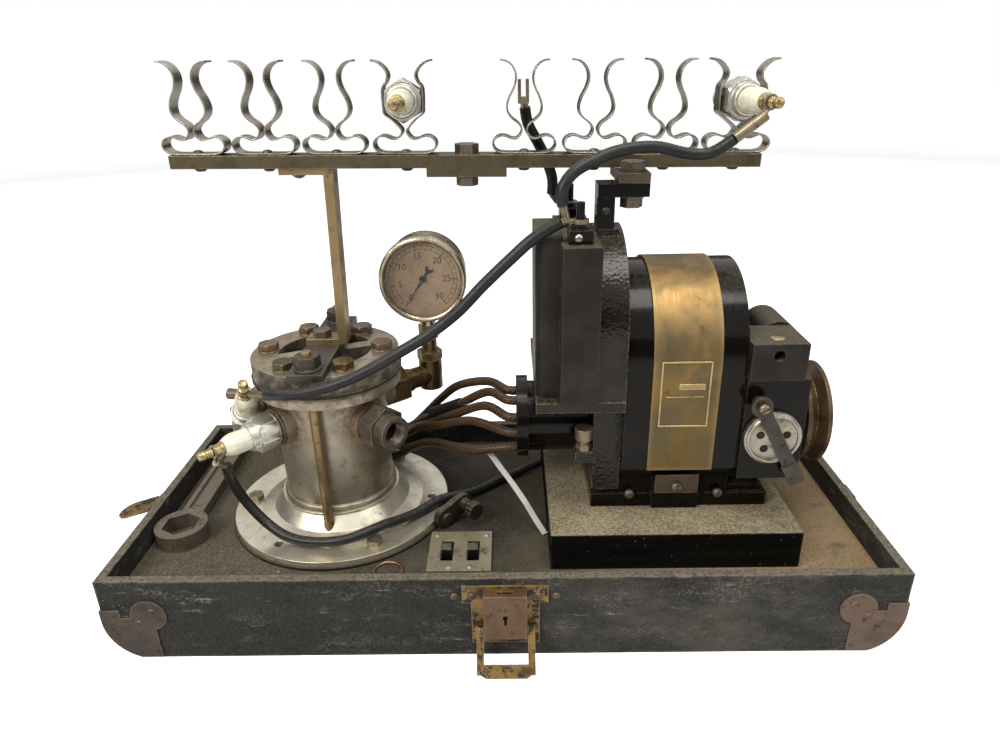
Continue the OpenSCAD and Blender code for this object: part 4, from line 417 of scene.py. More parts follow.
LOOK = {
    "black_fibre": fibre(),
    "dusty_board": board(),
    "rusted_sheet": metal("rusted_sheet", (0.120, 0.078, 0.052), (0.085, 0.048, 0.029),
                          (0.026, 0.018, 0.013), 0.4, 0.5, rub=(0.25, 0.18, 0.125), dust=0.2,
                          west=(0.030, 0.023, 0.017)),
    "bronze": metal("bronze", (0.230, 0.140, 0.036), (0.085, 0.047, 0.015), (0.010, 0.007, 0.004), 0.4,
                    0.42, rub=(0.46, 0.31, 0.12), dark_at=(0.38, 0.52)),
    "gasket_rubber": black("gasket_rubber", (0.012, 0.011, 0.010), (0.03, 0.028, 0.024), 0.6, dust=0.4),
    "dull_alloy": alloy(),
    "old_steel": metal("old_steel", (0.225, 0.183, 0.120), (0.150, 0.116, 0.070), (0.045, 0.032, 0.020),
                       0.8, 0.38, rub=(0.42, 0.36, 0.26)),
    "dark_iron": metal("dark_iron", (0.150, 0.122, 0.094), (0.085, 0.063, 0.043), (0.020, 0.015, 0.011),
                       0.7, 0.40, rub=(0.31, 0.26, 0.20), dust=0.2),
    "sight_glass": glass(),
    "rusted_bolts": metal("rusted_bolts", (0.165, 0.108, 0.064), (0.095, 0.050, 0.026),
                          (0.026, 0.017, 0.011), 0.55, 0.48, rub=(0.32, 0.24, 0.16), dust=0.35),
    "nickel_steel": metal("nickel_steel", (0.52, 0.51, 0.445), (0.42, 0.395, 0.32), (0.15, 0.12, 0.08), 0.8,
                          0.33, rub=(0.68, 0.66, 0.58), dark_at=(0.7, 0.95)),
    "white_ceramic": ceramic(),
    "aged_brass": brass_sheet(),
    "dial_card": card(),
    "black_enamel": black("black_enamel", (0.0030, 0.0023, 0.0018), (0.0068, 0.0048, 0.0036), 0.14,
                          chips=(0.075, 0.058, 0.036), dust=0.18, spec=0.17),
    "black_wood": wood(),
    "black_moulding": black("black_moulding", (0.0125, 0.0106, 0.0092), (0.026, 0.0220, 0.0180), 0.42,
                            chips=(0.10, 0.085, 0.062), dust=0.6),
    "worn_pulley": metal("worn_pulley", (0.120, 0.074, 0.036), (0.045, 0.029, 0.016), (0.012, 0.010, 0.008),
                         0.7, 0.36, rub=(0.44, 0.31, 0.15)),
    "rusted_iron": metal("rusted_iron", (0.135, 0.112, 0.084), (0.092, 0.070, 0.049), (0.030, 0.022, 0.016),
                         0.55, 0.46, rub=(0.24, 0.20, 0.155), dust=0.3),
    "black_rubber": rubber("black_rubber", (0.010, 0.0102, 0.0105), (0.020, 0.0205, 0.0215)),
    "varnished_cloth": rubber("varnished_cloth", (0.048, 0.024, 0.0090), (0.026, 0.0140, 0.0060),
                              bands=0.75),
    "crackle_enamel": black("crackle_enamel", (0.0065, 0.0048, 0.0035), (0.019, 0.0135, 0.0085), 0.22,
                            crackle=0.55, chips=(0.26, 0.19, 0.10), dust=0.4, spec=0.3),
    "fitting_brass": metal("fitting_brass", (0.155, 0.103, 0.040), (0.075, 0.045, 0.018),
                           (0.018, 0.012, 0.007), 0.8, 0.36, rub=(0.52, 0.39, 0.18)),
    "bright_brass": metal("bright_brass", (0.40, 0.305, 0.145), (0.27, 0.185, 0.080), (0.08, 0.054, 0.026),
                          0.9, 0.3, rub=(0.66, 0.53, 0.27), dark_at=(0.6, 0.8)),
    "gilt_rim": metal("gilt_rim", (0.46, 0.40, 0.28), (0.32, 0.255, 0.155), (0.08, 0.058, 0.034), 0.92,
                      0.26, rub=(0.68, 0.61, 0.45), dark_at=(0.6, 0.8)),
    "lock_rust": metal("lock_rust", (0.118, 0.066, 0.030), (0.080, 0.042, 0.019), (0.025, 0.015, 0.008),
                       0.35, 0.46, rub=(0.32, 0.225, 0.125)),
    "pale_metal": metal("pale_metal", (0.56, 0.54, 0.48), (0.43, 0.40, 0.335), (0.14, 0.115, 0.08), 0.85,
                        0.3, rub=(0.70, 0.68, 0.62), dark_at=(0.62, 0.85)),
    "dull_nickel": metal("dull_nickel", (0.285, 0.252, 0.172), (0.220, 0.182, 0.112), (0.065, 0.05, 0.028),
                         0.6, 0.42, rub=(0.42, 0.38, 0.28), dust=0.4),
    "copper": metal("copper", (0.42, 0.22, 0.12), (0.24, 0.12, 0.06), (0.06, 0.035, 0.02), 0.85, 0.34,
                    rub=(0.6, 0.36, 0.22)),
    "spring_steel": metal("spring_steel", (0.34, 0.315, 0.265), (0.225, 0.180, 0.120), (0.10, 0.07, 0.045),
                          0.85, 0.30, rub=(0.50, 0.47, 0.41), stain_at=(0.42, 0.62), dark_at=(0.66, 0.9),
                          scale=34, pit=0.00003),
    "dark_bronze": metal("dark_bronze", (0.100, 0.078, 0.045), (0.064, 0.048, 0.026), (0.026, 0.019, 0.011),
                         0.7, 0.4, rub=(0.34, 0.29, 0.20)),
    # The base flange gets a paler copy of the barrel alloy: partly its own paler metal, partly a painted
    # highlight where it catches the light.
    "flange_alloy_painted_highlight": alloy("flange_alloy_painted_highlight", (0.68, 0.64, 0.51), (0.55, 0.50, 0.38), 0.24, 0.2),
    "black_iron": metal("black_iron", (0.055, 0.047, 0.038), (0.034, 0.027, 0.020), (0.012, 0.010, 0.008),
                        0.55, 0.4, rub=(0.20, 0.165, 0.12), dust=0.2),
    "upright_bronze": metal("upright_bronze", (0.265, 0.190, 0.092), (0.190, 0.130, 0.060),
                            (0.05, 0.034, 0.018), 0.75, 0.38, rub=(0.44, 0.35, 0.22)),
    "cap_alloy": metal("cap_alloy", (0.34, 0.31, 0.25), (0.23, 0.195, 0.14), (0.06, 0.045, 0.03), 0.85,
                       0.28, rub=(0.66, 0.63, 0.55), dark_at=(0.56, 0.78)),
    # Dark joint compound, also used as painted shade in screw slots and cap holes.
    "compound_and_painted_shade": black("compound_and_painted_shade", (0.020, 0.016, 0.011), (0.060, 0.046, 0.028), 0.5, dust=0.6),
    "dial_ink": black("dial_ink", (0.010, 0.008, 0.006), (0.020, 0.014, 0.010), 0.55, dust=0.0),
    "white_nylon": ceramic("white_nylon", (0.78, 0.78, 0.75), (0.66, 0.66, 0.62)),
}

OF_NODE = {
    "tray_shell": "black_fibre", "floor_board": "dusty_board", "corner_caps": "rusted_sheet",
    "case_rivets": "rusted_sheet", "lock_plate": "bronze", "lock_case": "lock_rust", "hasp": "bronze",
    "catch_plates": "rusted_sheet", "left_catch": "bronze", "right_catch": "rusted_sheet",
    "gaskets": "gasket_rubber", "base_flange": "flange_alloy_painted_highlight", "flange_screws": "old_steel",
    "barrel": "dull_alloy", "port_fittings": "dark_iron", "air_inlet": "dark_iron",
    "glass_panes": "sight_glass", "barrel_cover": "dull_alloy", "cover_bolts": "rusted_bolts",
    "clamp_bar": "black_iron", "tie_rods": "old_steel", "plug_shells": "nickel_steel",
    "plug_insulators": "white_ceramic", "plug_terminals": "bright_brass", "gauge_piping": "fitting_brass",
    "gauge_case": "gilt_rim", "gauge_bezel": "gilt_rim", "gauge_dial": "dial_card",
    "gauge_pointer": "black_enamel", "bourdon_tube": "bright_brass", "upright": "upright_bronze",
    "rack_bar": "dark_bronze", "rack_bolts": "dark_iron", "spring_clips": "spring_steel",
    "clip_plug": "nickel_steel", "wood_block": "black_wood", "magneto_base": "black_enamel",
    "magnets": "black_enamel", "brass_band": "aged_brass", "distributor_housing": "crackle_enamel",
    "distributor_blocks": "black_moulding", "distributor_gear": "bright_brass",
    "lead_collar": "black_enamel", "grease_cap": "old_steel", "breaker_housing": "black_enamel",
    "terminal_boxes": "black_moulding", "breaker_cap": "cap_alloy", "breaker_lever": "black_iron",
    "armature": "dark_iron", "drive_pulley": "worn_pulley", "top_terminals": "black_enamel",
    "switch_plate": "dull_nickel", "left_switch": "black_moulding", "right_switch": "black_moulding",
    "binding_post": "black_moulding", "thumb_knob": "black_moulding", "wrench": "rusted_iron",
    "lead_ends": "old_steel",
}
for name, look in OF_NODE.items():
    slots = nodes[name].data.materials
    slots.clear()
    slots.append(LOOK[look])


# Widths in mm of the bevel modifiers on CAD pieces
SOFT = {"terminal_boxes": 2.4, "distributor_blocks": 1.2, "breaker_housing": 1.6, "magneto_base": 1.2,
        "wood_block": 1.0, "wrench": 0.8, "top_terminals": 0.9, "clamp_bar": 0.7, "lock_case": 1.0,
        "brass_band": 0.5, "tray_shell": 0.8, "rack_bar": 0.4}
for name, width in SOFT.items():
    round_off = nodes[name].modifiers.new("soft", "BEVEL")
    round_off.width = width * MM
    round_off.segments = 3
    round_off.limit_method = "ANGLE"
    round_off.angle_limit = math.radians(50)
    round_off.harden_normals = True


def keep(obj, look, body="base"):
    obj.data.materials.append(LOOK[look])
    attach(obj, body)
    return obj


def from_mesh(name, bm, smooth=True):
    mesh = bpy.data.meshes.new(name)
    bmesh.ops.recalc_face_normals(bm, faces=bm.faces)
    bm.to_mesh(mesh)
    bm.free()
    if smooth:
        mesh.shade_smooth()
        mesh.set_sharp_from_angle(angle=math.radians(38))
    obj = bpy.data.objects.new(name, mesh)
    bpy.context.scene.collection.objects.link(obj)
    return obj


# Catmull-Rom curve through the points
def smooth_route(points, pace):
    fine = []
    count = len(points)
    for i in range(count - 1):
        a, b = points[max(i - 1, 0)], points[i]
        c, d = points[i + 1], points[min(i + 2, count - 1)]
        parts = max(2, int((c - b).length / pace))
        for k in range(parts):
            t = k / parts
            fine.append(0.5 * (2 * b + (c - a) * t + (2 * a - 5 * b + 4 * c - d) * t * t
                               + (3 * b - a - 3 * c + d) * t * t * t))
    fine.append(points[-1])
    return fine


# Closed round tube along such a curve, with its running length in U
def tube(name, points, radius, pace=0.003, sides=16, swell=None):
    fine = smooth_route([Vector(q) for q in points], pace)
    bm = bmesh.new()
    uv = bm.loops.layers.uv.new("UVMap")
    rings, run, lengths = [], 0.0, []
    ahead = (fine[1] - fine[0]).normalized()
    side = ahead.orthogonal().normalized()
    for i, q in enumerate(fine):
        t = (fine[min(i + 1, len(fine) - 1)] - fine[max(i - 1, 0)]).normalized()
        side = (side - t * side.dot(t)).normalized()
        other = t.cross(side)
        run += (q - fine[i - 1]).length if i else 0.0
        lengths.append(run)
        r = radius * (swell(run) if swell else 1.0)
        rings.append([bm.verts.new(q + r * (math.cos(a) * side + math.sin(a) * other))
                      for a in (2 * math.pi * k / sides for k in range(sides))])
    for i in range(len(rings) - 1):
        for k in range(sides):
            n = (k + 1) % sides
            face = bm.faces.new((rings[i][k], rings[i][n], rings[i + 1][n], rings[i + 1][k]))
            at = ((i, k), (i, k + 1), (i + 1, k + 1), (i + 1, k))
            for loop, (row, col) in zip(face.loops, at):
                loop[uv].uv = (lengths[row], col / sides)
    bm.faces.new(list(reversed(rings[0])))
    bm.faces.new(rings[-1])
    return from_mesh(name, bm), fine, run


# Leads, as points in mm
LONG = [(-149, -43, 159), (-140, -50, 162), (-128, -56, 165), (-112, -59, 169), (-94, -60, 175),
        (-77, -60, 183), (-58, -60, 194), (-39, -58, 205), (-22, -57, 218), (-7, -55, 233), (8, -54, 247),
        (23, -53, 260), (38, -50, 268)]
RACK = [(40, -46, 277), (39, -46, 285), (45, -43, 294), (57, -37, 300), (74, -31, 305), (94, -28, 306),
        (112, -27, 302), (126, -28, 302), (138, -31, 310)]
FLOOR = [(-180, -52, 112), (-181, -46, 97), (-176, -42, 78), (-163, -45, 62), (-147, -52, 55),
         (-127, -57, 54), (-105, -57, 56), (-85, -46, 58), (-64, -26, 54), (-47, -8, 54), (-34, 3, 51),
         (-20, 14, 48), (-4, 28, 48), (13, 41, 48), (32, 51, 52)]
FORK = [(20, 20, 326), (22, 23, 316), (28, 26, 305), (34, 27, 293), (38, 28, 281), (38, 29, 271)]
OUTLETS = [(-2, 21), (-12, 18), (-18, 8), (-18, -4), (-16, -17)]
BROWN = [
    [(-8, 18, 139), (-30, 32, 130), (-46, 48, 112), (-64, 64, 88), (-84, 78, 64), (-104, 85, 50),
     (-124, 91, 48)],
    [(-8, 4, 137), (-30, 20, 120), (-50, 36, 104), (-72, 56, 84), (-94, 71, 62), (-114, 79, 54),
     (-134, 80, 54)],
    [(-10, 0, 128), (-32, 14, 115), (-52, 30, 100), (-74, 48, 84), (-96, 61, 64), (-116, 70, 54),
     (-136, 69, 54)],
    [(-20, 2, 115), (-44, 14, 106), (-62, 28, 97), (-80, 44, 80), (-96, 52, 66), (-110, 60, 57),
     (-124, 62, 56)],
    [(-14, -10, 98), (-30, 0, 94), (-50, 12, 92), (-66, 26, 82), (-80, 42, 66), (-90, 53, 57),
     (-97, 59, 56)],
]
LEAD_D, BROWN_D = 0.007, 0.0064
COLLAR_Z = 120
COLLAR_IN, COLLAR_FACE = 16, 6


def lead(name, route, width, look, node):
    points = [Vector(q) * MM for q in route]
    obj, line, length = tube(name, points, width / 2)
    keep(obj, look)
    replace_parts(obj, node)
    return obj


lead("long_lead", list(reversed(LONG)), LEAD_D, "black_rubber", "black_leads")
lead("rack_lead", RACK, LEAD_D, "black_rubber", "black_leads")
lead("floor_lead", list(reversed(FLOOR)), LEAD_D, "black_rubber", "black_leads")
lead("fork_lead", list(reversed(FORK)), LEAD_D, "black_rubber", "black_leads")
for i, tail in enumerate(BROWN):
    y, z = OUTLETS[i][0], COLLAR_Z + OUTLETS[i][1]
    lead(f"brown_lead_{i + 1}", [(COLLAR_IN, y, z), (COLLAR_FACE, y, z)] + tail, BROWN_D, "varnished_cloth",
         "brown_leads")


# Shapes, in mm
CHAMBER = (-120.5, 5)


def mm(*at):
    return Vector(at) * MM


def turn(axis, degrees):
    return Matrix.Rotation(math.radians(degrees), 4, axis)


def move(*at):
    return Matrix.Translation(mm(*at))


# Radius of a hexagon at an angle, cut at the cap for a chamfer
def six(across, cap=99):
    def radius(angle):
        return min(across / 2 / math.cos(angle % (math.pi / 3) - math.pi / 6), cap)
    return radius


# Rows of radius and height, turned about Z; a radius can be a function of the angle
def lathe(name, rows, place, look, body="base", sides=48, loop=False):
    bm = bmesh.new()
    rings = []
    for r, h in rows:
        if r == 0:
            rings.append([bm.verts.new(place @ mm(0, 0, h))])
            continue
        ring = []
        for k in range(sides):
            a = 2 * math.pi * k / sides
            far = r(a) if callable(r) else r
            ring.append(bm.verts.new(place @ mm(far * math.cos(a), far * math.sin(a), h)))
        rings.append(ring)
    pairs = list(zip(rings, rings[1:])) + ([(rings[-1], rings[0])] if loop else [])
    for a, b in pairs:
        for k in range(sides):
            n = (k + 1) % sides
            if len(a) == 1:
                bm.faces.new((a[0], b[k], b[n]))
            elif len(b) == 1:
                bm.faces.new((a[k], a[n], b[0]))
            else:
                bm.faces.new((a[k], a[n], b[n], b[k]))
    return keep(from_mesh(name, bm), look, body)


# Outline raised by its thickness
def slab(bm, outline, thick, place):
    low = [bm.verts.new(place @ mm(x, y, 0)) for x, y in outline]
    high = [bm.verts.new(place @ mm(x, y, thick)) for x, y in outline]
    bm.faces.new(list(reversed(low)))
    bm.faces.new(high)
    for k in range(len(outline)):
        n = (k + 1) % len(outline)
        bm.faces.new((low[k], low[n], high[n], high[k]))


def box(x0, y0, x1, y1):
    return [(x0, y0), (x1, y0), (x1, y1), (x0, y1)]


# Section carried along a line
def strip(bm, line, section, across, place):
    rings = []
    for i, q in enumerate(line):
        ahead = (line[min(i + 1, len(line) - 1)] - line[max(i - 1, 0)]).normalized()
        side = ahead.cross(across).normalized()
        rings.append([bm.verts.new(place @ ((q + a * across + n * side) * MM)) for a, n in section])
    count = len(section)
    for one, two in zip(rings, rings[1:]):
        for k in range(count):
            n = (k + 1) % count
            bm.faces.new((one[k], one[n], two[n], two[k]))
    bm.faces.new(list(reversed(rings[0])))
    bm.faces.new(rings[-1])


# Spring clips
RACKED = move(84, 0, 291) @ turn("Y", 0.86) @ move(-84, 0, -291)
RACK_Y, RACK_TOP, RACK_UNDER = 8, 299, 291
HELD_Z = 330
HELD_GAP = {3: 12, 7: 13.6}
OVER_UPRIGHT = 2
CLIP_X = [-186, -142.3, -98.6, -54.9, 18.9, 62.6, 106.3, 150]
FOOT = [(0, 0.55), (5, 0.55), (10, 0.55), (14.5, 0.9), (17.8, 2.6), (19.3, 5.6), (18.3, 8.8), (15, 10.8),
        (11.5, 10.7), (8.2, 9.4), (5.2, 9.2), (2.8, 11), (1.6, 14.5)]
FREE = [(3.6, 18), (7.4, 20.8), (10, 24), (10.6, 28), (9.2, 33), (6.6, 38), (5.2, 43), (5.8, 47.5), (8, 51),
        (11.2, 53.2), (14.8, 53.8)]
BAND = [(-6, -0.3), (-5.8, -0.5), (5.8, -0.5), (6, -0.3), (6, 0.3), (5.8, 0.5), (-5.8, 0.5), (-6, 0.3)]


def held(gap):
    return [(gap - 5, 20.4), (gap - 0.6, 23.6), (gap, 27), (gap, 38), (gap - 2.6, 42), (gap - 3.6, 46),
            (gap - 1.4, 50), (gap + 2.2, 52.8), (gap + 6, 53.8)]


def clips():
    for i, x in enumerate(CLIP_X):
        half = FOOT + (held(HELD_GAP[i]) if i in HELD_GAP else FREE)
        line = [Vector((-a, 0, b)) for a, b in reversed(half)] + [Vector((a, 0, b)) for a, b in half[1:]]
        place = RACKED @ move(x, RACK_Y, RACK_TOP)
        bm = bmesh.new()
        strip(bm, smooth_route(line, 1.0), BAND, Vector((0, 1, 0)), place)
        obj = keep(from_mesh(f"spring_clip_{i + 1}", bm), "spring_steel")
        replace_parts(obj, "spring_clips")
        rivet = lathe(f"clip_rivet_{i + 1}", [(3, 1), (3, 1.5), (2.5, 2.2), (1.4, 2.6), (0, 2.7)], place,
                      "dark_iron", sides=24)
        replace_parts(rivet, "spring_clips")
        if i != OVER_UPRIGHT:
            lathe(f"clip_nut_{i + 1}", [(0, RACK_UNDER), (3.6, RACK_UNDER), (3.6, 289.6), (2.6, 288.7),
                                        (0, 288.4)],
                  RACKED @ move(x, RACK_Y, 0), "black_iron", sides=20)


clips()


# Plugs
THREAD_PITCH = 1.3
THREAD = [(0, -14), (7.4, -14)]
for coil in range(8):
    THREAD += [(8.15, -13.2 + THREAD_PITCH * coil), (7.55, -12.55 + THREAD_PITCH * coil)]
SHELL = THREAD + [(7.6, -2.1), (10.9, -2), (11.2, -1.6), (11.2, -0.4), (10.8, 0), (six(22.4, 11.3), 0.05),
                  (six(22.4), 1.3), (six(22.4), 11.7), (six(22.4, 11.3), 12.95), (9.9, 13), (9.7, 13.4),
                  (9.7, 16.6), (9.2, 17.6), (8.6, 17.95), (7.7, 17.95), (7.6, 17.6), (0, 17.6)]
INSULATOR = [(0, 17.7), (7.55, 17.7), (7.55, 28.6), (7.3, 29.4), (6.75, 31.9), (5.5, 34.4), (5.1, 34.95),
             (0, 34.95)]
TERMINAL = [(0, 35), (4.4, 35), (4.6, 35.3), (4.6, 36.6), (4.3, 37), (six(7, 3.8), 37.1), (six(7), 37.7),
            (six(7), 40.5), (six(7, 3.7), 41), (1.6, 41), (1.6, 42.6), (2.9, 42.6), (3.2, 42.9),
            (3.2, 44.2), (2.5, 44.5), (2.5, 45.2), (3.0, 45.5), (3.0, 46.2), (2.5, 46.5), (2.5, 47.2),
            (3.15, 47.6), (3.15, 50.4), (2.5, 51.3), (1.2, 51.6), (0, 51.6)]


def at_port(angle, z, reach):
    return move(*CHAMBER, z) @ turn("Z", angle) @ move(reach, 0, 0) @ turn("Y", 90)


def racked(x, swing):
    swung = RACKED @ move(x, RACK_Y, HELD_Z) @ turn("Z", swing)
    return swung @ move(0, 6.5, 0) @ turn("X", 90) @ turn("Z", 30)


def plug(name, place, replaced, body="base"):
    for part, rows, look, slot, node in (
        ("shell", SHELL, "nickel_steel", "nickel_steel", replaced[0]),
        ("insulator", INSULATOR, "white_ceramic", "white_ceramic", replaced[1]),
        ("terminal", TERMINAL, "bright_brass", "aged_brass", replaced[2]),
    ):
        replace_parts(lathe(f"{name}_{part}", rows, place, look, body), node)


ELBOW_REACH, ELBOW_ANGLE, ELBOW_Z = 60, math.radians(185), 110
ELBOW = [CHAMBER[0] + ELBOW_REACH * math.cos(ELBOW_ANGLE), CHAMBER[1] + ELBOW_REACH * math.sin(ELBOW_ANGLE),
         ELBOW_Z]
PORT_Z = 128
FIXED = ("plug_shells", "plug_insulators", "plug_terminals")
plug("front_plug", at_port(-133, PORT_Z, 49) @ turn("Z", 20), FIXED)
plug("elbow_plug", move(*ELBOW) @ turn("Y", 15) @ turn("X", 33) @ move(0, 0, 17), FIXED)
plug("racked_plug", racked(150, 12), FIXED)
plug("loose_plug", racked(-54.9, 0), ("clip_plug", "clip_plug", "clip_plug"), "loose_plug")


# Gauge
GAUGE = (-54.6, 208)
DIAL_Y = 48.28
INK = 0.06
TRACK_IN, TRACK_OUT = 22.1, 25.1
ARC_STEPS = 96
NUMBER_R, NUMBER_SIZE = 17.4, 6.6
MARKS = [213.5, 257, 301, 349, 399, 450, 499]
RIM = [(27.6, -46.2), (27.6, -44.6), (28.2, -43.4), (29.2, -42.6), (30.4, -42.35), (31.4, -42.9),
       (31.9, -44.2), (31.9, -45.7), (31.3, -46.1), (31.3, -46.8), (31.9, -47.2), (31.9, -50.2),
       (30.1, -50.2), (30.1, -46.4)]


def gauge():
    rim = lathe("bezel_ring", RIM, move(GAUGE[0], 0, GAUGE[1]) @ turn("X", 90), "gilt_rim", sides=96,
                loop=True)
    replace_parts(rim, "gauge_bezel")
    face = move(GAUGE[0], DIAL_Y, GAUGE[1]) @ turn("X", 90)
    bm = bmesh.new()
    for value in range(31):
        span = min(value // 5, 5)
        low = MARKS[span]
        a = low + (MARKS[span + 1] - low) * (value - 5 * span) / 5
        half, inner = (0.30, 20.6) if value % 5 == 0 else (0.16, TRACK_IN)
        slab(bm, box(-half, inner, half, TRACK_OUT), INK, face @ turn("Z", -a))
    for r in (TRACK_IN, TRACK_OUT):
        for k in range(ARC_STEPS):
            a = MARKS[0] + (MARKS[-1] - MARKS[0]) * (k + 0.5) / ARC_STEPS
            long = math.radians((MARKS[-1] - MARKS[0]) / ARC_STEPS) * r / 2
            slab(bm, box(-long, r - 0.14, long, r + 0.14), INK, face @ turn("Z", -a))
    keep(from_mesh("dial_marks", bm, False), "dial_ink")
    bm = bmesh.new()
    for k, a in enumerate(MARKS):
        data = bpy.data.curves.new("number", "FONT")
        data.body = str(5 * k)
        data.size = NUMBER_SIZE * MM
        data.extrude = 0.03 * MM
        data.align_x = data.align_y = "CENTER"
        text = bpy.data.objects.new("number", data)
        part = bpy.data.meshes.new_from_object(text)
        out = Vector((math.sin(math.radians(a)), math.cos(math.radians(a)), 0)) * NUMBER_R * MM
        part.transform(face @ Matrix.Translation(out))
        bm.from_mesh(part)
        bpy.data.objects.remove(text)
        bpy.data.curves.remove(data)
        bpy.data.meshes.remove(part)
    keep(from_mesh("dial_numbers", bm, False), "dial_ink")


gauge()


# Small pieces
BEAD_STEPS, BEAD_SIDES = 160, 8


def frame_on_band():
    face = move(0, -56.5, 0) @ turn("X", 90)
    bm = bmesh.new()
    for row in (box(101, 139, 132, 140), box(101, 182.5, 132, 183.5), box(101, 140, 102, 182.5),
                box(131, 140, 132, 182.5), box(112.5, 164.5, 128.5, 168.5), box(105, 159.5, 128, 159.9)):
        slab(bm, row, 0.45, face)
    keep(from_mesh("band_frame", bm), "bright_brass")


def slotted(name, place, r, look, body="base"):
    lathe(f"{name}_head", [(r, 0), (r, 0.6 * r), (0.86 * r, 0.8 * r), (0.5 * r, 0.92 * r), (0, 0.95 * r)],
          place, look, body, sides=32)
    bm = bmesh.new()
    # The slot is not cut into the head: a thin dark bar lies across it, painted shade in the slot.
    slab(bm, box(-0.9 * r, -0.14 * r, 0.9 * r, 0.14 * r), 0.1 * r, place @ move(0, 0, 0.87 * r))
    keep(from_mesh(f"{name}_slot", bm), "compound_and_painted_shade", body)


def under_band():
    front = turn("X", 90)
    bm = bmesh.new()
    slab(bm, box(104.2, 83.6, 133, 97.6), 1.5, move(0, -45.85, 0) @ front)
    keep(from_mesh("keeper_plate", bm), "dark_bronze")
    slotted("keeper_screw", move(118.5, -47.3, 88.7) @ front @ turn("Z", 80), 3.9, "dark_iron")
    for k, x in enumerate((87.5, 147)):
        slotted(f"foot_screw_{k + 1}", move(x, -45, 82.5) @ front @ turn("Z", 25 + 50 * k), 3.2,
                "dark_iron")


def breaker_end():
    lathe("box_disc", [(0, 194.9), (4.4, 194.9), (4.4, 195.5), (3.6, 195.8), (0, 195.8)],
          move(171.5, -49.5, 0), "bright_brass", sides=32)
    slotted("lever_screw", move(161.5, -69.2, 157) @ turn("X", 90) @ turn("Z", 30), 3.4, "old_steel",
            "lever_body")


def cable_tie():
    line = [Vector(q) for q in ((-13, -7, 98.5), (-5.9, -8, 91.4), (-0.2, -12, 84.5), (8.3, -18, 74.6),
                                (17.4, -26, 63.6),
                                  (25.4, -33, 52.1), (31.2, -38, 44.6))]
    bm = bmesh.new()
    strip(bm, smooth_route(line, 1.5), [(-2.1, -0.5), (2.1, -0.5), (2.1, 0.5), (-2.1, 0.5)],
          Vector((0.8, 0.6, 0)).normalized(), Matrix())
    keep(from_mesh("cable_tie", bm), "white_nylon")


def copper_ring():
    angles = [2 * math.pi * k / 12 for k in range(12)]
    rows = [(9.3 + 0.9 * math.cos(a), 44.65 + 0.9 * math.sin(a)) for a in angles]
    lathe("copper_ring", rows, move(-75, -77, 0), "copper", loop=True, sides=64)


def joint_bead():
    bm = bmesh.new()
    rings = []
    for k in range(BEAD_STEPS):
        a = 2 * math.pi * k / BEAD_STEPS
        w = noise.noise(Vector((2.4 * math.cos(a), 2.4 * math.sin(a), 1.3)) * 3)
        r = 1.3 + 0.8 * w
        mid = 50.6 + 0.5 * w
        rings.append([bm.verts.new(mm(CHAMBER[0] + (mid + r * math.cos(b)) * math.cos(a),
                                      CHAMBER[1] + (mid + r * math.cos(b)) * math.sin(a),
                                      157.2 + 0.9 * r * math.sin(b)))
                      for b in (2 * math.pi * j / BEAD_SIDES for j in range(BEAD_SIDES))])
    for k in range(BEAD_STEPS):
        one, two = rings[k], rings[(k + 1) % BEAD_STEPS]
        for j in range(BEAD_SIDES):
            n = (j + 1) % BEAD_SIDES
            bm.faces.new((one[j], one[n], two[n], two[j]))
    keep(from_mesh("joint_bead", bm), "compound_and_painted_shade")


def port_thread():
    rows = [(8.15, 60)]
    for k in range(6):
        rows += [(7.5, 60.7 + 1.4 * k), (8.15, 61.4 + 1.4 * k)]
    lathe("port_thread", rows, at_port(-41, PORT_Z, 0), "dark_iron")


def cover_bolts():
    looks = ("rusted_bolts", "dark_iron", "rusted_bolts", "rusted_bolts", "dark_bronze", "fitting_brass")
    for k, look in enumerate(looks):
        place = move(*CHAMBER, 171) @ turn("Z", 60 * k) @ move(39.5, 0, 0) @ turn("Z", 17 + 7 * k)
        head = [(0, 0), (7.4, 0), (7.4, 0.7), (7.0, 0.9), (six(13, 6.6), 0.95), (six(13), 1.4),
                (six(13), 4.9), (six(13, 6.5), 5.8), (4.6, 6), (0, 5.9)]
        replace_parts(lathe(f"cover_bolt_{k + 1}", head, place, look), "cover_bolts")


def cap_face():
    place = move(173, -58, 132) @ turn("X", 90)
    rows = [(0, 0), (18, 0), (18, 3.2), (17.6, 3.5), (16.9, 3.5), (16.9, 4.6), (16.4, 5), (15.2, 5),
            (14.8, 4.6), (14.8, 3.9), (14.3, 3.6), (5, 3.6), (4.6, 3.9), (3.6, 4), (0, 4)]
    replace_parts(lathe("breaker_cap_face", rows, place, "cap_alloy", sides=72),
                "breaker_cap")
    # The five holes are not cut: each is a thin disc with a low lip and a dark face, painted shade in the
    # hole.
    for k in range(5):
        hole = place @ turn("Z", 18 + 72 * k) @ move(8.6, 0, 3.6)
        lathe(f"cap_hole_{k + 1}", [(0, 0), (2.5, 0), (2.6, 0.15), (2.2, 0.3), (2, 0.02), (0, 0.02)], hole,
              "compound_and_painted_shade", sides=24)


def clip_sleeve():
    points = [mm(-51, 36.8, 103.2), mm(-40, 28, 112), mm(-29, 19.2, 120.8)]
    sleeve, _, _ = tube("clip_sleeve", points, 5.4 * MM, pace=0.002, swell=lambda run: 1.1 - 9 * run)
    keep(sleeve, "black_rubber")
    bm = bmesh.new()
    for side in (-1, 1):
        aim = (points[2] - points[1]).to_track_quat("Y", "Z").to_matrix().to_4x4()
        place = move(-30, 20, 120) @ aim @ turn("X", 6 * side) @ move(0, 0, 1.4 * side)
        slab(bm, [(-2.8, 0), (2.8, 0), (2.2, 9), (1.2, 14), (-1.2, 14), (-2.2, 9)], 0.7, place)
    keep(from_mesh("clip_jaws", bm), "spring_steel")


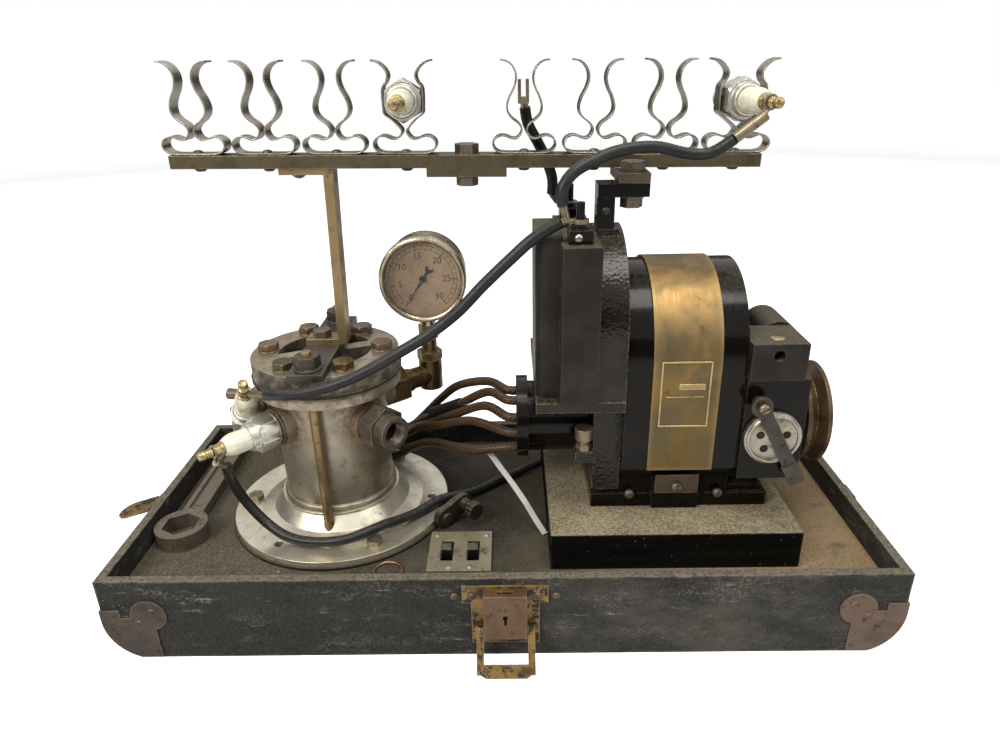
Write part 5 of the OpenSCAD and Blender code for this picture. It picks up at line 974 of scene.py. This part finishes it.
def rods():
    for k, y in enumerate((-40.8, 50.8)):
        place = move(CHAMBER[0], y, 0)
        rod = lathe(f"tie_rod_{k + 1}", [(0, 50.7), (3.2, 50.7), (3.5, 51.3), (3.5, 185), (3.1, 188),
                                         (0, 188.4)],
                    place, "upright_bronze", sides=32)
        nut = lathe(f"rod_nut_{k + 1}", [(3.6, 176), (9, 176), (9, 177.2), (8.6, 177.4),
                                         (six(15, 7.7), 177.5), (six(15), 178.2), (six(15), 184.2),
                                         (six(15, 7.6), 185.3), (3.6, 185.4)],
                    place @ turn("Z", 12 + 20 * k), "black_iron")
        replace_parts(rod, "tie_rods")
        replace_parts(nut, "tie_rods")


def bracket_screws():
    for k, z in enumerate((268.2, 277.6)):
        slotted(f"bracket_screw_{k + 1}", move(68, -19, z) @ turn("X", 90) @ turn("Z", 40 * k), 2.6,
                "black_iron")
    slotted("post_screw", move(48.5, -54.5, 260) @ turn("X", 90), 2.3, "pale_metal")


rods()
bracket_screws()
cover_bolts()
cap_face()
clip_sleeve()
frame_on_band()
under_band()
breaker_end()
cable_tie()
copper_ring()
joint_bead()
port_thread()


# Studio: a white world and floor, grey flags that only reflections and light see, and three lamps
FLAGS, FLAG_AWAY, FLAG_Z = 12, 2.6, 0.55
FLOOR_GLOW = 0.74


def studio():
    world = bpy.data.worlds.new("studio")
    bpy.context.scene.world = world
    world.use_nodes = True
    t = world.node_tree
    t.nodes.clear()
    out = t.nodes.new("ShaderNodeOutputWorld")
    soft = t.nodes.new("ShaderNodeBackground")
    soft.inputs["Color"].default_value = (0.95, 0.97, 1.0, 1)
    soft.inputs["Strength"].default_value = 0.40
    white = t.nodes.new("ShaderNodeBackground")
    white.inputs["Color"].default_value = (1, 1, 1, 1)
    path = t.nodes.new("ShaderNodeLightPath")
    one = t.nodes.new("ShaderNodeMath")
    one.operation = "MAXIMUM"
    t.links.new(path.outputs["Is Camera Ray"], one.inputs[0])
    t.links.new(path.outputs["Is Transmission Ray"], one.inputs[1])
    two = t.nodes.new("ShaderNodeMath")
    two.operation = "MAXIMUM"
    t.links.new(one.outputs[0], two.inputs[0])
    t.links.new(path.outputs["Is Glossy Ray"], two.inputs[1])
    mix = t.nodes.new("ShaderNodeMixShader")
    t.links.new(two.outputs[0], mix.inputs[0])
    t.links.new(soft.outputs[0], mix.inputs[1])
    t.links.new(white.outputs[0], mix.inputs[2])
    t.links.new(mix.outputs[0], out.inputs[0])

    p = Paint("floor_white")
    grain = p.noise(30, 3, 0.5)
    path = p.nodes.new("ShaderNodeLightPath")
    p.links.new(path.outputs["Is Camera Ray"], p.bsdf.inputs["Emission Strength"])
    p.bsdf.inputs["Emission Color"].default_value = (FLOOR_GLOW, FLOOR_GLOW, FLOOR_GLOW, 1)
    p.done(color=p.mix(p.step(grain, 0.3, 0.7), (0.90, 0.90, 0.90), (0.92, 0.92, 0.92)), rough=0.9,
           spec=0.0)
    bm = bmesh.new()
    bmesh.ops.create_grid(bm, x_segments=4, y_segments=4, size=6)
    ground = from_mesh("ground", bm, False)
    ground.data.materials.append(p.mat)

    q = Paint("flag_grey")
    q.done(color=q.mix(q.noise(4, 3, 0.5), (0.10, 0.10, 0.10), (0.13, 0.13, 0.13)), rough=0.9, spec=0.0)
    for k in range(FLAGS):
        a = 2 * math.pi * k / FLAGS
        stand = Matrix.Translation((FLAG_AWAY * math.sin(a), FLAG_AWAY * math.cos(a), FLAG_Z))
        wall = stand @ turn("Z", -math.degrees(a)) @ turn("X", 90)
        bm = bmesh.new()
        bmesh.ops.create_grid(bm, x_segments=1, y_segments=1, size=0.5)
        bm.transform(wall @ Matrix.Diagonal((1.42, 1.1, 1, 1)))
        flag = from_mesh(f"flag_{k + 1}", bm, False)
        flag.data.materials.append(q.mat)
        flag.visible_camera = False

    for name, place, aim, size, power, tint in (
        ("key", (-0.95, -1.0, 1.15), (-0.05, 0, 0.12), 0.8, 24, (1.0, 0.97, 0.92)),
        ("fill", (1.25, -0.70, 0.75), (0.05, 0, 0.12), 0.8, 5, (0.96, 0.98, 1.0)),
        ("over", (0.25, -0.35, 1.45), (0.05, 0, 0.1), 0.6, 11, (1.0, 0.97, 0.92)),
    ):
        data = bpy.data.lights.new(name, "AREA")
        data.energy = power
        data.size = size
        data.color = tint
        lamp = bpy.data.objects.new(name, data)
        lamp.location = place
        lamp.rotation_mode = "QUATERNION"
        lamp.rotation_quaternion = (Vector(aim) - Vector(place)).to_track_quat("-Z", "Y")
        bpy.context.scene.collection.objects.link(lamp)


studio()
bpy.context.scene.view_settings.view_transform = "Standard"
